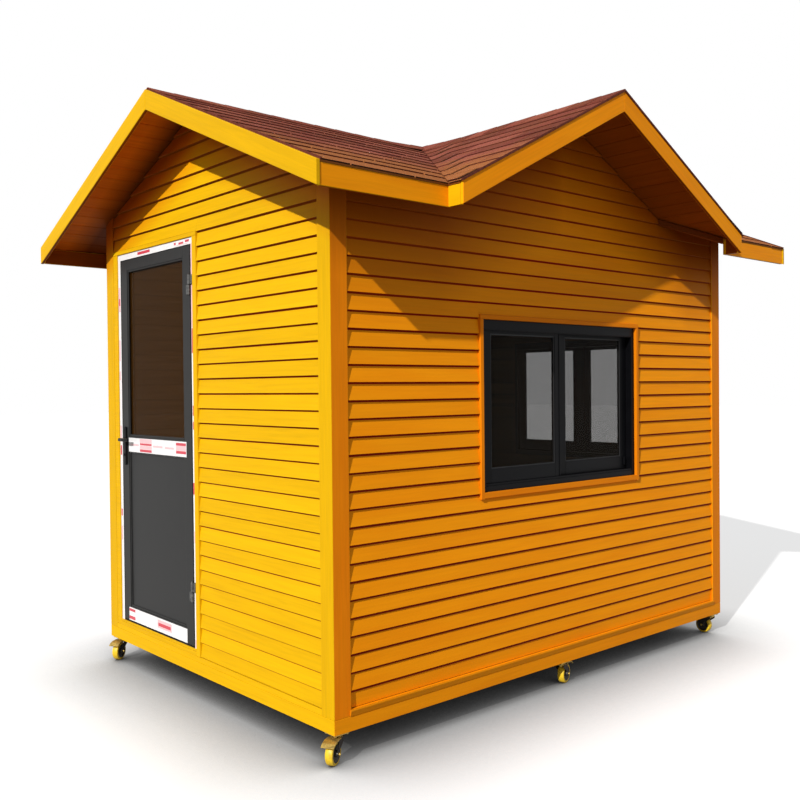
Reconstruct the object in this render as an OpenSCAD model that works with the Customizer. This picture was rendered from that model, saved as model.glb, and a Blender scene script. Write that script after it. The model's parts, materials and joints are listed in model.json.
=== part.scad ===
// Timber garden chalet on casters: a framed cabin with lap-sided walls and
// a cross-gabled roof, one door in the front wall and sliding windows in the
// right and rear walls. X runs across the cabin, Y along it (front at -Y), Z up.
// The origin is on the ground under the middle of the cabin.

/* [Cabin body] */
// Width across the corner boards
body_w = 2190; // [1900:10:2500]
// Length across the corner boards
body_l = 3100; // [2600:10:3600]
// Height of the skirt's lower edge above the ground
body_lift = 130; // [120:1:160]
// Thickness of the framed walls behind the siding
wall_t = 70; // [50:1:100]
// Thickness of the corner and skirt boards, equal to the siding's depth
board_t = 18; // [12:1:30]
// Width of each face of the corner boards
corner_w = 90; // [60:1:140]
// Height of the skirt boards
skirt_h = 92; // [70:1:140]
// Height of the drip ledge on top of the long skirts
ledge_h = 27; // [15:1:40]
// How far the drip ledge stands out from the skirt
ledge_out = 8; // [4:1:16]
// Thickness of the floor boards
floor_t = 14; // [10:1:30]
// Number of joists across the floor frame
joist_count = 10; // [8:1:14]
// Width of each joist
joist_w = 45; // [35:1:80]
// Width of the two beams along the floor frame
beam_w = 70; // [45:1:100]

/* [Roof] */
// Height of the fascia line at both ridges
ridge_h = 3045; // [2700:5:3400]
// Drop from the ridges down to the eaves
roof_rise = 597; // [400:1:800]
// Half the main roof's width, measured to the face of its fascia
main_half = 1383; // [1250:1:1600]
// Overhang of the main roof's gables beyond the end walls
main_overhang = 280; // [150:5:450]
// Half the cross roof's width, measured to the face of its fascia
cross_half = 1140; // [900:5:1300]
// Overhang of the cross roof's gables beyond the long walls
cross_overhang = 378; // [300:1:500]
// Height of the barge and fascia boards, measured plumb
barge_h = 98; // [70:1:140]
// Thickness of the barge and fascia boards
barge_t = 18; // [15:1:35]
// How far the main barge boards' ends stand out past the fascias
barge_out = 4; // [0:1:10]
// Plumb thickness of the roof deck with its shingles
deck_t = 18; // [10:1:30]
// Depth of the deck's underside below the barge boards' top line
deck_drop = 10; // [0:1:30]
// How far the main deck runs out past the fascias
deck_out = 12; // [0:1:30]
// How far the cross deck runs out past its fascias
cross_deck_out = 2; // [0:1:30]

/* [Door] */
// Centre of the door frame across the front wall
door_x = -512; // [-600:1:0]
// Overall width of the door frame
door_w = 884; // [700:1:1000]
// Height of the top of the door frame above the ground
door_top = 2373; // [2100:1:2450]
// Face width of the door frame's sections
door_frame_w = 30; // [20:1:60]
// Height of the top of the threshold above the ground
threshold_top = 256; // [230:1:300]
// Gap round the door leaf
door_gap = 7; // [6:1:10]
// Thickness of the door leaf
leaf_t = 38; // [30:1:50]
// Width of the leaf's stiles
stile_w = 76; // [50:1:110]
// Height of the leaf's top rail
top_rail_h = 60; // [40:1:100]
// Height of the top of the leaf's middle rail above the ground
mid_rail_top = 1327; // [1000:1:1500]
// Height of the leaf's middle rail
mid_rail_h = 90; // [60:1:150]
// Height of the leaf's bottom rail
bottom_rail_h = 84; // [60:1:200]
// Width of the timber casing beside the door frame
door_casing_w = 38; // [15:1:60]
// Width of the timber casing over the door and round the windows
casing_w = 22; // [15:1:60]
// Height of the lever handle above the ground
lever_z = 1306; // [1000:1:1400]

/* [Windows] */
// Overall width of the right-hand window's frame
win_w = 1264; // [800:1:1500]
// Overall width of the rear window's frame
rear_win_w = 1196; // [800:1:1500]
// Overall height of each window frame
win_h = 840; // [600:5:1100]
// Height of the underside of each window frame above the ground
win_sill = 1078; // [900:1:1300]
// Centre of the right-hand window along its wall
win_y = 2; // [-100:1:100]
// Centre of the rear window across its wall
rear_win_x = 45; // [-300:5:300]
// Depth of the window frame through the wall
win_depth = 80; // [60:1:90]
// Face width of the window frame's jambs
win_frame_w = 26; // [20:1:60]
// Height of the window frame's head
win_head_h = 49; // [20:1:80]
// Height of the window frame's sill
win_sill_h = 38; // [20:1:60]
// How far the outer sash stands behind the frame's face
sash_recess = 13; // [2:1:20]
// Width of each sash's stile against the jamb
sash_w = 54; // [30:1:70]
// Width of the outer sash's meeting stile
outer_meet_w = 44; // [30:1:70]
// Width of the inner sash's meeting stile
inner_meet_w = 90; // [30:1:110]
// Height of each sash's top rail
sash_top_h = 18; // [12:1:70]
// Height of each sash's bottom rail
sash_bottom_h = 71; // [40:1:100]
// Thickness of each sash
sash_t = 22; // [20:1:32]
// How far the outer sash ends short of the window's centre
meet_back = 20; // [0:1:40]
// Overlap of the two sashes at the middle
sash_overlap = 15; // [10:1:70]

/* [Casters] */
// Diameter of the caster wheels
wheel_d = 100; // [90:1:110]
// Width of the caster wheels
wheel_w = 36; // [25:1:36]
// Distance from the swivel to the wheel's axle, seen from above
caster_trail = 42; // [30:1:50]
// Distance from the body's faces in to the swivels
caster_inset = 48; // [45:1:80]

/* [Hidden] */
$fn = 64;
eps = 1;
half_w = body_w / 2;
half_l = body_l / 2;
wall_x = half_w - board_t;
wall_y = half_l - board_t;
inner_x = wall_x - wall_t;
inner_y = wall_y - wall_t;
frame_top = body_lift + skirt_h - floor_t;
floor_top = frame_top + floor_t;
main_end = half_l + main_overhang;
cross_end = half_w + cross_overhang;
main_slope = roof_rise / main_half;
cross_slope = roof_rise / cross_half;
deck_ridge = ridge_h - deck_drop;
deck_seat = 0.3;
wall_ridge = deck_ridge - deck_seat;
leaf_left = door_x - door_w / 2 + door_frame_w + door_gap;
leaf_w = door_w - 2 * (door_frame_w + door_gap);
leaf_bottom = threshold_top + door_gap;
leaf_top = door_top - door_frame_w - door_gap;
door_face = half_l - 8;
hinge_x = leaf_left + leaf_w + door_gap / 2;
hinge_y = -door_face - 9;
hinge_r = 7;
hinge_len = 100;
hinge_heights = [threshold_top + 290, door_top - 243];
glass_t = 6;
win_face = half_w - 12;
sill_casing_h = casing_w + 6;
sash_low = win_sill + win_sill_h;
sash_high = win_sill + win_h - win_head_h;
sash_space = 3;
outer_sash_x = win_face - sash_recess - sash_t;
inner_sash_x = outer_sash_x - sash_t - sash_space;
inner_sash_y = -meet_back - sash_overlap;
swivel_x = half_w - caster_inset;
swivel_y = half_l - caster_inset;
plate_size = 84;
plate_t = 6;
crown_top = 112;
crown_t = 6;
crown_r = 26;
pedal_w = 60;
race_gap = 0.4;
fork_gap = 5.5;
leg_t = 3.5;
axle_r = 5;
wheel_bore = 5.4;

// Swivel place and direction of trail of each caster, seen from above
CORNERS = [
    ["front_right", 1, -1, -61],
    ["middle_right", 1, 0, 107],
    ["rear_right", 1, 1, 177],
    ["front_left", -1, -1, -55],
    ["middle_left", -1, 0, 73],
    ["rear_left", -1, 1, 150]
];

// A block between two opposite corners
module block(low, high) {
    translate(low)
        cube(high - low);
}

// Copies in mirror image on both sides of the plane x = 0
module both_sides() {
    children();
    mirror([1, 0, 0])
        children();
}

// Copies in mirror image in front of and behind the plane y = 0
module both_ends() {
    children();
    mirror([0, 1, 0])
        children();
}

// Everything below the main roof's deck, whose ridge runs along Y
module below_main_roof() {
    rotate([90, 0, 0])
        translate([0, 0, -body_l])
            linear_extrude(2 * body_l)
                polygon([
                    [-body_l, 0],
                    [body_l, 0],
                    [body_l, wall_ridge - main_slope * body_l],
                    [0, wall_ridge],
                    [-body_l, wall_ridge - main_slope * body_l]
                ]);
}

// Everything below the cross roof's deck, whose ridge runs along X
module below_cross_roof() {
    rotate([90, 0, 90])
        translate([0, 0, -body_l])
            linear_extrude(2 * body_l)
                polygon([
                    [-body_l, 0],
                    [body_l, 0],
                    [body_l, wall_ridge - cross_slope * body_l],
                    [0, wall_ridge],
                    [-body_l, wall_ridge - cross_slope * body_l]
                ]);
}

// ---- floor ----

module floor_beams() {
    color([0.55, 0.38, 0.2])
        both_sides()
            block([wall_x - beam_w, -wall_y, body_lift], [wall_x, wall_y, frame_top]);
}

module floor_joists() {
    joist_step = (2 * wall_y - joist_w) / (joist_count - 1);
    half = wall_x - beam_w;
    color([0.6, 0.42, 0.23])
        for (i = [0 : joist_count - 1])
            translate([-half, i * joist_step - wall_y, body_lift])
                cube([2 * half, joist_w, frame_top - body_lift]);
}

// The floor, with a tongue under the door frame
module floor_boards() {
    color([0.7, 0.5, 0.3])
        union() {
            block([-inner_x, -inner_y, frame_top], [inner_x, inner_y, floor_top]);
            translate([door_x - door_w / 2, -wall_y, frame_top])
                cube([door_w, wall_t + eps, floor_t]);
        }
}

module skirt_boards() {
    ledge_low = body_lift + skirt_h - ledge_h;
    color([0.95, 0.62, 0.05])
        union() {
            difference() {
                block([-half_w, -half_l, body_lift], [half_w, half_l, floor_top]);
                block([-wall_x, -wall_y, body_lift - eps], [wall_x, wall_y, floor_top + eps]);
            }
            both_sides()
                block([half_w - eps, 75 - half_l, ledge_low], [half_w + ledge_out, half_l - 75, floor_top]);
        }
}

// ---- walls ----

module corner_board() {
    color([0.98, 0.7, 0.08])
        intersection() {
            difference() {
                block([half_w - corner_w, half_l - corner_w, floor_top], [half_w, half_l, ridge_h]);
                block([0, 0, 0], [wall_x, wall_y, ridge_h + eps]);
            }
            below_main_roof();
        }
}

module corner_boards() {
    both_ends()
        both_sides()
            corner_board();
}

// One stretch of the front wall, cut to the roof above it
module front_wall_part(x_low, x_high, z_low, z_high) {
    color([0.98, 0.7, 0.08])
        intersection() {
            block([x_low, -wall_y, z_low], [x_high, -inner_y, z_high]);
            below_main_roof();
        }
}

module front_wall_left() {
    front_wall_part(-wall_x, door_x - door_w / 2, frame_top, door_top);
}

module front_wall_right() {
    front_wall_part(door_x + door_w / 2, wall_x, frame_top, door_top);
}

module front_gable() {
    front_wall_part(-wall_x, wall_x, door_top, ridge_h);
}

// Moves a window's shapes from the right wall to the rear wall
module at_rear() {
    translate([rear_win_x, half_l - half_w, 0])
        rotate([0, 0, 90])
            translate([0, -win_y, 0])
                children();
}

// The hole through the right wall for a window of the given width
module window_hole(width) {
    block(
        [inner_x - eps, win_y - width / 2, win_sill],
        [wall_x + eps, win_y + width / 2, win_sill + win_h]
    );
}

module rear_wall() {
    color([0.98, 0.7, 0.08])
        difference() {
            mirror([0, 1, 0])
                front_wall_part(-wall_x, wall_x, frame_top, ridge_h);
            at_rear()
                window_hole(rear_win_w);
        }
}

// A long wall without windows, on the +X side
module side_wall() {
    color([0.87, 0.52, 0.04])
        intersection() {
            block([inner_x, -inner_y, frame_top], [wall_x, inner_y, ridge_h]);
            union() {
                below_main_roof();
                below_cross_roof();
            }
        }
}

module right_wall() {
    color([0.87, 0.52, 0.04])
        difference() {
            side_wall();
            window_hole(win_w);
        }
}

module left_wall() {
    mirror([1, 0, 0])
        side_wall();
}

// ---- roof ----

// One slope of the main roof, at +X and -Y, cut along its valley
module main_slope_deck() {
    run = main_end - barge_t;
    reach = main_half + deck_out;
    drop = main_slope * reach;
    color([0.5, 0.27, 0.22])
        intersection() {
            rotate([90, 0, 0])
                linear_extrude(run)
                    polygon([
                        [0, deck_ridge],
                        [reach, deck_ridge - drop],
                        [reach, deck_ridge - drop + deck_t],
                        [0, deck_ridge + deck_t]
                    ]);
            linear_extrude(2 * ridge_h)
                polygon([
                    [0, 0],
                    [reach, -reach * cross_half / main_half],
                    [reach, -run],
                    [0, -run]
                ]);
        }
}

// One slope of the cross roof, at +X and -Y, cut along its valley
module cross_slope_deck() {
    run = cross_end - barge_t;
    reach = cross_half + cross_deck_out;
    drop = cross_slope * reach;
    color([0.5, 0.27, 0.22])
        intersection() {
            rotate([90, 0, 90])
                linear_extrude(run)
                    polygon([
                        [0, deck_ridge],
                        [-reach, deck_ridge - drop],
                        [-reach, deck_ridge - drop + deck_t],
                        [0, deck_ridge + deck_t]
                    ]);
            linear_extrude(2 * ridge_h)
                polygon([
                    [0, 0],
                    [reach * main_half / cross_half, -reach],
                    [run, -reach],
                    [run, 0]
                ]);
        }
}

module roof_front_right() {
    main_slope_deck();
}

module roof_front_left() {
    mirror([1, 0, 0])
        main_slope_deck();
}

module roof_rear_right() {
    mirror([0, 1, 0])
        main_slope_deck();
}

module roof_rear_left() {
    mirror([0, 1, 0])
        mirror([1, 0, 0])
            main_slope_deck();
}

module roof_right_front() {
    cross_slope_deck();
}

module roof_right_rear() {
    mirror([0, 1, 0])
        cross_slope_deck();
}

module roof_left_front() {
    mirror([1, 0, 0])
        cross_slope_deck();
}

module roof_left_rear() {
    mirror([0, 1, 0])
        mirror([1, 0, 0])
            cross_slope_deck();
}

// A pair of sloping boards under a gable's edge, standing in the XZ plane
module barge_pair(half, slope) {
    drop = slope * half;
    color([0.98, 0.68, 0.06])
        rotate([90, 0, 0])
            linear_extrude(barge_t)
                polygon([
                    [-half, ridge_h - drop],
                    [0, ridge_h],
                    [half, ridge_h - drop],
                    [half, ridge_h - drop - barge_h],
                    [0, ridge_h - barge_h],
                    [-half, ridge_h - drop - barge_h]
                ]);
}

module barge_boards_front() {
    translate([0, barge_t - main_end, 0])
        barge_pair(main_half + barge_out, main_slope);
}

module barge_boards_rear() {
    mirror([0, 1, 0])
        barge_boards_front();
}

module barge_boards_right() {
    translate([cross_end - barge_t, 0, 0])
        rotate([0, 0, 90])
            barge_pair(cross_half, cross_slope);
}

module barge_boards_left() {
    mirror([1, 0, 0])
        barge_boards_right();
}

// The eave board of the main roof and the short return under the cross roof
module eave_fascia() {
    low = ridge_h - roof_rise - barge_h;
    back = main_half - barge_t;
    side = cross_half - barge_t;
    color([0.93, 0.58, 0.04])
        intersection() {
            union() {
                block([back, side, low], [main_half, main_end - barge_t, ridge_h]);
                block([back, side, low], [cross_end - barge_t, cross_half, ridge_h]);
            }
            union() {
                below_main_roof();
                below_cross_roof();
            }
        }
}

module eave_fascias() {
    both_ends()
        both_sides()
            eave_fascia();
}

// ---- door ----

module door_frame() {
    left = door_x - door_w / 2;
    right = door_x + door_w / 2;
    back = wall_t + board_t - 8;
    stop = 12;
    color([0.25, 0.26, 0.27])
        difference() {
            block([left, -door_face, floor_top], [right, back - door_face, door_top]);
            block(
                [left + door_frame_w, -door_face - eps, threshold_top],
                [right - door_frame_w, leaf_t + door_gap - door_face, door_top - door_frame_w]
            );
            block(
                [left + door_frame_w + stop, -door_face - eps, threshold_top + stop],
                [
                    right - door_frame_w - stop,
                    back - door_face + eps,
                    door_top - door_frame_w - stop
                ]
            );
        }
}

// The boards round the door frame, with the sill board in front of its threshold
module door_casing() {
    left = door_x - door_w / 2;
    right = door_x + door_w / 2;
    color([0.98, 0.7, 0.08])
        union() {
            difference() {
                block(
                    [corner_w - half_w, -half_l, floor_top],
                    [right + door_casing_w, -wall_y, door_top + casing_w]
                );
                block([left, -half_l - eps, floor_top - eps], [right, eps - wall_y, door_top]);
            }
            block([left - eps, -half_l, floor_top], [right + eps, -door_face - 0.3, threshold_top]);
        }
}

module door_leaf() {
    front = -door_face;
    glass_low = mid_rail_top;
    panel_inset = 9;
    color([0.24, 0.25, 0.26])
        union() {
            difference() {
                block([leaf_left, front, leaf_bottom], [leaf_left + leaf_w, front + leaf_t, leaf_top]);
                block(
                    [leaf_left + stile_w, front - eps, glass_low],
                    [leaf_left + leaf_w - stile_w, front + leaf_t + eps, leaf_top - top_rail_h]
                );
                for (side = [0, 1])
                    translate([0, side * (leaf_t - panel_inset + eps), 0])
                        block(
                            [leaf_left + stile_w, front - eps, leaf_bottom + bottom_rail_h],
                            [
                                leaf_left + leaf_w - stile_w,
                                front + panel_inset,
                                mid_rail_top - mid_rail_h
                            ]
                        );
            }
            for (z = hinge_heights)
                block(
                    [hinge_x - 30, hinge_y, z - hinge_len / 2],
                    [hinge_x - 3, front + eps, z - 1]
                );
            for (z = hinge_heights)
                translate([hinge_x, hinge_y, z - hinge_len / 2])
                    difference() {
                        union() {
                            cylinder(h = hinge_len / 2 - 1, r = hinge_r);
                            translate([-8, 0, 0])
                                cube([8, 4, hinge_len / 2 - 1]);
                        }
                        translate([0, 0, -eps])
                            cylinder(h = hinge_len, r = 3.3);
                    }
        }
}

module door_glass() {
    middle = leaf_t / 2 - door_face;
    color([0.2, 0.16, 0.1, 0.4])
        block(
            [leaf_left + stile_w, middle - glass_t / 2, mid_rail_top],
            [leaf_left + leaf_w - stile_w, middle + glass_t / 2, leaf_top - top_rail_h]
        );
}

// The frame's halves of the two hinges, with their pins
module door_hinges() {
    color([0.6, 0.6, 0.58])
        for (z = hinge_heights) {
            translate([hinge_x, hinge_y, z + 1])
                cylinder(h = hinge_len / 2 - 1, r = hinge_r);
            translate([hinge_x, hinge_y, z - hinge_len / 2])
                cylinder(h = hinge_len / 2 + 2, r = 3);
            block([hinge_x + 3, hinge_y, z + 1], [hinge_x + 30, -door_face, z + hinge_len / 2]);
        }
}

module door_handle_plates() {
    plate_x = leaf_left + 36;
    plate_t = 9;
    color([0.05, 0.05, 0.05])
        for (y = [-door_face - plate_t, leaf_t - door_face])
            block([plate_x - 19, y, 1160], [plate_x + 19, y + plate_t, 1380]);
}

module door_lever() {
    plate_x = leaf_left + 36;
    color([0.05, 0.05, 0.05])
        for (y = [[-door_face - 9.3, -1], [leaf_t + 9.3 - door_face, 1]])
            translate([plate_x, y[0], lever_z])
                rotate([y[1] * -90, 0, 0]) {
                    cylinder(h = 46, r = 10);
                    translate([-10, -10, 34])
                        cube([125, 20, 12]);
                }
}

// ---- windows, made on the right wall ----

module window_casing(width) {
    low = win_y - width / 2;
    high = win_y + width / 2;
    color([0.95, 0.62, 0.06])
        difference() {
            block(
                [wall_x, low - casing_w, win_sill - sill_casing_h],
                [half_w, high + casing_w, win_sill + win_h + casing_w]
            );
            block([wall_x - eps, low, win_sill], [half_w + eps, high, win_sill + win_h]);
        }
}

module window_frame(width) {
    low = win_y - width / 2;
    high = win_y + width / 2;
    color([0.12, 0.13, 0.15])
        difference() {
            block([win_face - win_depth, low, win_sill], [win_face, high, win_sill + win_h]);
            block(
                [win_face - win_depth - eps, low + win_frame_w, sash_low],
                [win_face + eps, high - win_frame_w, sash_high]
            );
        }
}

// A sash of the given width, with the widths of its two stiles
module sash(x, y, width, low_stile, high_stile) {
    difference() {
        block([x, y, sash_low], [x + sash_t, y + width, sash_high]);
        block(
            [x - eps, y + low_stile, sash_low + sash_bottom_h],
            [x + sash_t + eps, y + width - high_stile, sash_high - sash_top_h]
        );
    }
}

module window_sashes(width) {
    half = width / 2 - win_frame_w;
    color([0.1, 0.11, 0.13])
        translate([0, win_y, 0]) {
            sash(outer_sash_x, -half, half - meet_back, sash_w, outer_meet_w);
            sash(inner_sash_x, inner_sash_y, half - inner_sash_y, inner_meet_w, sash_w);
        }
}

module pane(x, low, high) {
    middle = x + sash_t / 2;
    block(
        [middle - glass_t / 2, low, sash_low + sash_bottom_h],
        [middle + glass_t / 2, high, sash_high - sash_top_h]
    );
}

module window_glass(width) {
    edge = width / 2 - win_frame_w - sash_w;
    color([0.1, 0.1, 0.1, 0.4])
        translate([0, win_y, 0]) {
            pane(outer_sash_x, -edge, -meet_back - outer_meet_w);
            pane(inner_sash_x, inner_sash_y + inner_meet_w, edge);
        }
}

// ---- casters ----

// Moves a caster's pieces from the swivel's own frame to their place
module at_caster(corner) {
    translate([corner[1] * swivel_x, corner[2] * swivel_y, 0])
        rotate([0, 0, corner[3]])
            children();
}

module caster_plates() {
    color([0.5, 0.45, 0.3])
        for (corner = CORNERS)
            translate([corner[1] * swivel_x, corner[2] * swivel_y, 0]) {
                translate([-plate_size / 2, -plate_size / 2, body_lift - plate_t])
                    cube([plate_size, plate_size, plate_t]);
                translate([0, 0, crown_top + race_gap])
                    cylinder(h = body_lift - plate_t - crown_top, r = 24);
            }
}

module fork_leg() {
    rotate([90, 0, 0])
        linear_extrude(leg_t)
            polygon([
                [-20, crown_top],
                [24, crown_top],
                [caster_trail + 14, wheel_d / 2 + 6],
                [caster_trail + 9, wheel_d / 2 - 13],
                [caster_trail - 9, wheel_d / 2 - 13],
                [caster_trail - 16, wheel_d / 2 + 2],
                [-20, crown_top - 18]
            ]);
}

module caster_fork(corner) {
    gap = wheel_w / 2 + fork_gap;
    color([0.2, 0.19, 0.17])
        at_caster(corner)
            union() {
                translate([0, 0, crown_top - crown_t])
                    cylinder(h = crown_t, r = crown_r);
                translate([0, -gap - leg_t, crown_top - crown_t])
                    cube([24, 2 * (gap + leg_t), crown_t]);
                translate([0, -gap, 0])
                    fork_leg();
                translate([0, gap + leg_t, 0])
                    fork_leg();
                translate([caster_trail, gap + leg_t + 3, wheel_d / 2])
                    rotate([90, 0, 0])
                        cylinder(h = 2 * (gap + leg_t + 3), r = axle_r);
                rotate([90, 0, 0])
                    translate([0, 0, -pedal_w / 2])
                        linear_extrude(pedal_w)
                            polygon([
                                [20, crown_top],
                                [64, crown_top],
                                [104, 92],
                                [103, 88],
                                [62, crown_top - 4],
                                [20, crown_top - 4]
                            ]);
            }
}

module caster_wheel(corner) {
    color([0.9, 0.75, 0.1])
        at_caster(corner)
            translate([caster_trail, 0, wheel_d / 2])
                rotate([90, 0, 0])
                    translate([0, 0, -wheel_w / 2])
                        difference() {
                            cylinder(h = wheel_w, d = wheel_d);
                            translate([0, 0, -eps])
                                cylinder(h = wheel_w + 2 * eps, r = wheel_bore);
                        }
}

floor_beams();
floor_joists();
floor_boards();
skirt_boards();
corner_boards();
front_wall_left();
front_wall_right();
front_gable();
rear_wall();
right_wall();
left_wall();
roof_front_right();
roof_front_left();
roof_rear_right();
roof_rear_left();
roof_right_front();
roof_right_rear();
roof_left_front();
roof_left_rear();
barge_boards_front();
barge_boards_rear();
barge_boards_right();
barge_boards_left();
eave_fascias();
door_frame();
door_casing();
door_leaf();
door_glass();
door_hinges();
door_handle_plates();
door_lever();
window_casing(win_w);  // window_casing_right
window_frame(win_w);  // window_frame_right
window_sashes(win_w);  // window_sashes_right
window_glass(win_w);  // window_glass_right
at_rear() window_casing(rear_win_w);  // window_casing_rear
at_rear() window_frame(rear_win_w);  // window_frame_rear
at_rear() window_sashes(rear_win_w);  // window_sashes_rear
at_rear() window_glass(rear_win_w);  // window_glass_rear
caster_plates();
for (corner = CORNERS) {
    caster_fork(corner);
    caster_wheel(corner);
}
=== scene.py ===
import bpy
import bmesh
import json
import math
import random
from mathutils import Matrix, Vector


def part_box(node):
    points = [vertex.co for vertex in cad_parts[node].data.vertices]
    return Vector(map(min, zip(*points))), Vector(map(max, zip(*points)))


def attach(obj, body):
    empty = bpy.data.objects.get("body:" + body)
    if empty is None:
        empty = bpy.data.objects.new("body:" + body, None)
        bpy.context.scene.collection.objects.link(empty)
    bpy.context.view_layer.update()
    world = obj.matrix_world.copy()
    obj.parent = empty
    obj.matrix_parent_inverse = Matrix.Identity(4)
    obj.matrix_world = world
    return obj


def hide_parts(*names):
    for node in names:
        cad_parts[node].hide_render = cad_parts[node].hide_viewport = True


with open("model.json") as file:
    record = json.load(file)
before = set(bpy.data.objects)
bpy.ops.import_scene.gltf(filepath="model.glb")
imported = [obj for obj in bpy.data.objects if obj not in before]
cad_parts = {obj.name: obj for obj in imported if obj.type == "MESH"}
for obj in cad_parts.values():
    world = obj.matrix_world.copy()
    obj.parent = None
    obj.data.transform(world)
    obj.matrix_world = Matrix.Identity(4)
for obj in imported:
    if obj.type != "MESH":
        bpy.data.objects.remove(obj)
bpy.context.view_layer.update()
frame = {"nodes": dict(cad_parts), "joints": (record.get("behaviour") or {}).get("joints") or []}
rnd = random.Random(11)

# ---------------------------------------------------------------- measures

UP = Vector((0, 0, 1))
_, corner_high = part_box("corner_boards")
HALF_W, HALF_L = corner_high.x, corner_high.y
skirt_low, skirt_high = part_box("skirt_boards")
SKIRT_LOW, SKIRT_TOP = skirt_low.z, skirt_high.z
LEDGE_OUT = skirt_high.x - HALF_W
wall_low, wall_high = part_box("right_wall")
WALL_X = wall_high.x
BOARD_T = HALF_W - WALL_X
INNER_X, INNER_Y = wall_low.x, wall_high.y
CORNER_W = 0.09
LEDGE_H = 0.027
CORNER_LOW = SKIRT_TOP - LEDGE_H
END_REACH, SIDE_REACH = HALF_W - CORNER_W, HALF_L - CORNER_W

main_low, main_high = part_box("roof_front_right")
cross_low, cross_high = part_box("roof_right_front")
DECK_T = 0.018
UNDER = main_high.z - DECK_T
MAIN_RUN, CROSS_RUN = -main_low.y, cross_high.x
MAIN_SLOPE = (UNDER - main_low.z) / main_high.x
CROSS_SLOPE = (UNDER - cross_low.z) / -cross_low.y
VALLEY = MAIN_SLOPE / CROSS_SLOPE
EAVE_Z = UNDER - MAIN_SLOPE * HALF_W
barge_low, barge_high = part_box("barge_boards_front")
BARGE_RIDGE = barge_high.z
BARGE_T = barge_high.y - barge_low.y
BARGE_H = 0.098
MAIN_BARGE_HALF, MAIN_END = barge_high.x, -barge_low.y
MAIN_HALF = MAIN_BARGE_HALF - 0.004
_, side_barge_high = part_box("barge_boards_right")
CROSS_END, CROSS_HALF = side_barge_high.x, side_barge_high.y
FASCIA_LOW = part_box("eave_fascias")[0].z

door_low, door_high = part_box("door_frame")
leaf_low, leaf_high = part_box("door_leaf")
glass_low, glass_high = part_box("door_glass")
door_trim_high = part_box("door_casing")[1]
DOOR_FACE = door_low.y
THRESHOLD = leaf_low.z - 0.007
win_low, win_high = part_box("window_frame_right")
trim_low, trim_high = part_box("window_casing_right")

FRONT_LAP, FRONT_STEP = 0.2256, 0.0747
SIDE_LAP, SIDE_STEP = 0.2239, 0.07725

QUADRANTS = [(x, y) for x in (1, -1) for y in (1, -1)]
FRONT, REAR, RIGHT, LEFT = (Vector(v) for v in ((0, -1, 0), (0, 1, 0), (1, 0, 0), (-1, 0, 0)))
SIDES = {"front": FRONT, "rear": REAR, "right": RIGHT, "left": LEFT}
MIRROR_X = Matrix.Diagonal((-1, 1, 1, 1))
MIRROR_Y = Matrix.Diagonal((1, -1, 1, 1))
QUARTER_X, QUARTER_Z = (Matrix.Rotation(math.pi / 2, 4, axis) for axis in "XZ")


# ---------------------------------------------------------------- mesh tools

def rect(y0, z0, y1, z1):
    return [(y0, z0), (y1, z0), (y1, z1), (y0, z1)]


def prism(rings, mats):
    """A solid between two rings of points. mats gives each side's material."""
    bm = bmesh.new()
    low, high = [[bm.verts.new(point) for point in ring] for ring in rings]
    for i in range(len(low)):
        j = (i + 1) % len(low)
        side = bm.faces.new((low[i], low[j], high[j], high[i]))
        side.material_index = mats[i] if mats else 0
    bm.faces.new(low[::-1])
    bm.faces.new(high)
    bmesh.ops.recalc_face_normals(bm, faces=bm.faces[:])
    return bm


def bar(section, start, end, mats=None):
    """A closed section of (y, z) points, extruded along x."""
    return prism([[(x, y, z) for y, z in section] for x in (start, end)], mats)


def plate(outline, low, high, mats=None):
    """A closed outline of (x, y) points, extruded along z."""
    return prism([[(x, y, z) for x, y in outline] for z in (low, high)], mats)


def lathe(profile, segments):
    """A profile of (radius, z) points, turned round z. One that starts off the axis is closed."""
    if profile[0][0]:
        profile = profile + profile[:1]
    bm = bmesh.new()
    angles = [2 * math.pi * k / segments for k in range(segments)]
    rings = [
        [bm.verts.new((radius * math.cos(a), radius * math.sin(a), z)) for a in (angles if radius else (0,))]
        for radius, z in profile]
    for low, high in zip(rings, rings[1:]):
        for k in range(segments):
            n = (k + 1) % segments
            corners = [low[k % len(low)], low[n % len(low)], high[n % len(high)], high[k % len(high)]]
            unique = list(dict.fromkeys(corners))
            if len(unique) > 2:
                bm.faces.new(unique)
    bmesh.ops.recalc_face_normals(bm, faces=bm.faces[:])
    return bm


def rounded(width, height, radius, steps=6):
    """Outline of a rectangle with round corners, centred on the origin."""
    points = []
    for cx, cy, start in ((1, 1, 0), (-1, 1, 90), (-1, -1, 180), (1, -1, 270)):
        for k in range(steps + 1):
            a = math.radians(start + 90 * k / steps)
            points.append((cx * (width / 2 - radius) + radius * math.cos(a),
                           cy * (height / 2 - radius) + radius * math.sin(a)))
    return points


def border(x0, z0, x1, z1, width):
    """Corners of the four strips inside a rectangle's edge: left, right, bottom and top."""
    return [((x0, z0), (x0 + width, z1)), ((x1 - width, z0), (x1, z1)),
            ((x0 + width, z0), (x1 - width, z0 + width)), ((x0 + width, z1 - width), (x1 - width, z1))]


def moved(x, y, z):
    return Matrix.Translation((x, y, z))


def turned(out, origin):
    """A frame with z outwards and y up, so that x runs along a wall or a ridge."""
    out = out.normalized()
    along = UP.cross(out).normalized()
    m = Matrix((along, out.cross(along), out)).transposed().to_4x4()
    m.translation = origin
    return m


def facing(side, distance):
    """The frame of a wall that faces one side, at a distance from the middle."""
    return turned(side, side * distance)


def link_object(name, data):
    obj = bpy.data.objects.new(name, data)
    bpy.context.scene.collection.objects.link(obj)
    return obj


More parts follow.
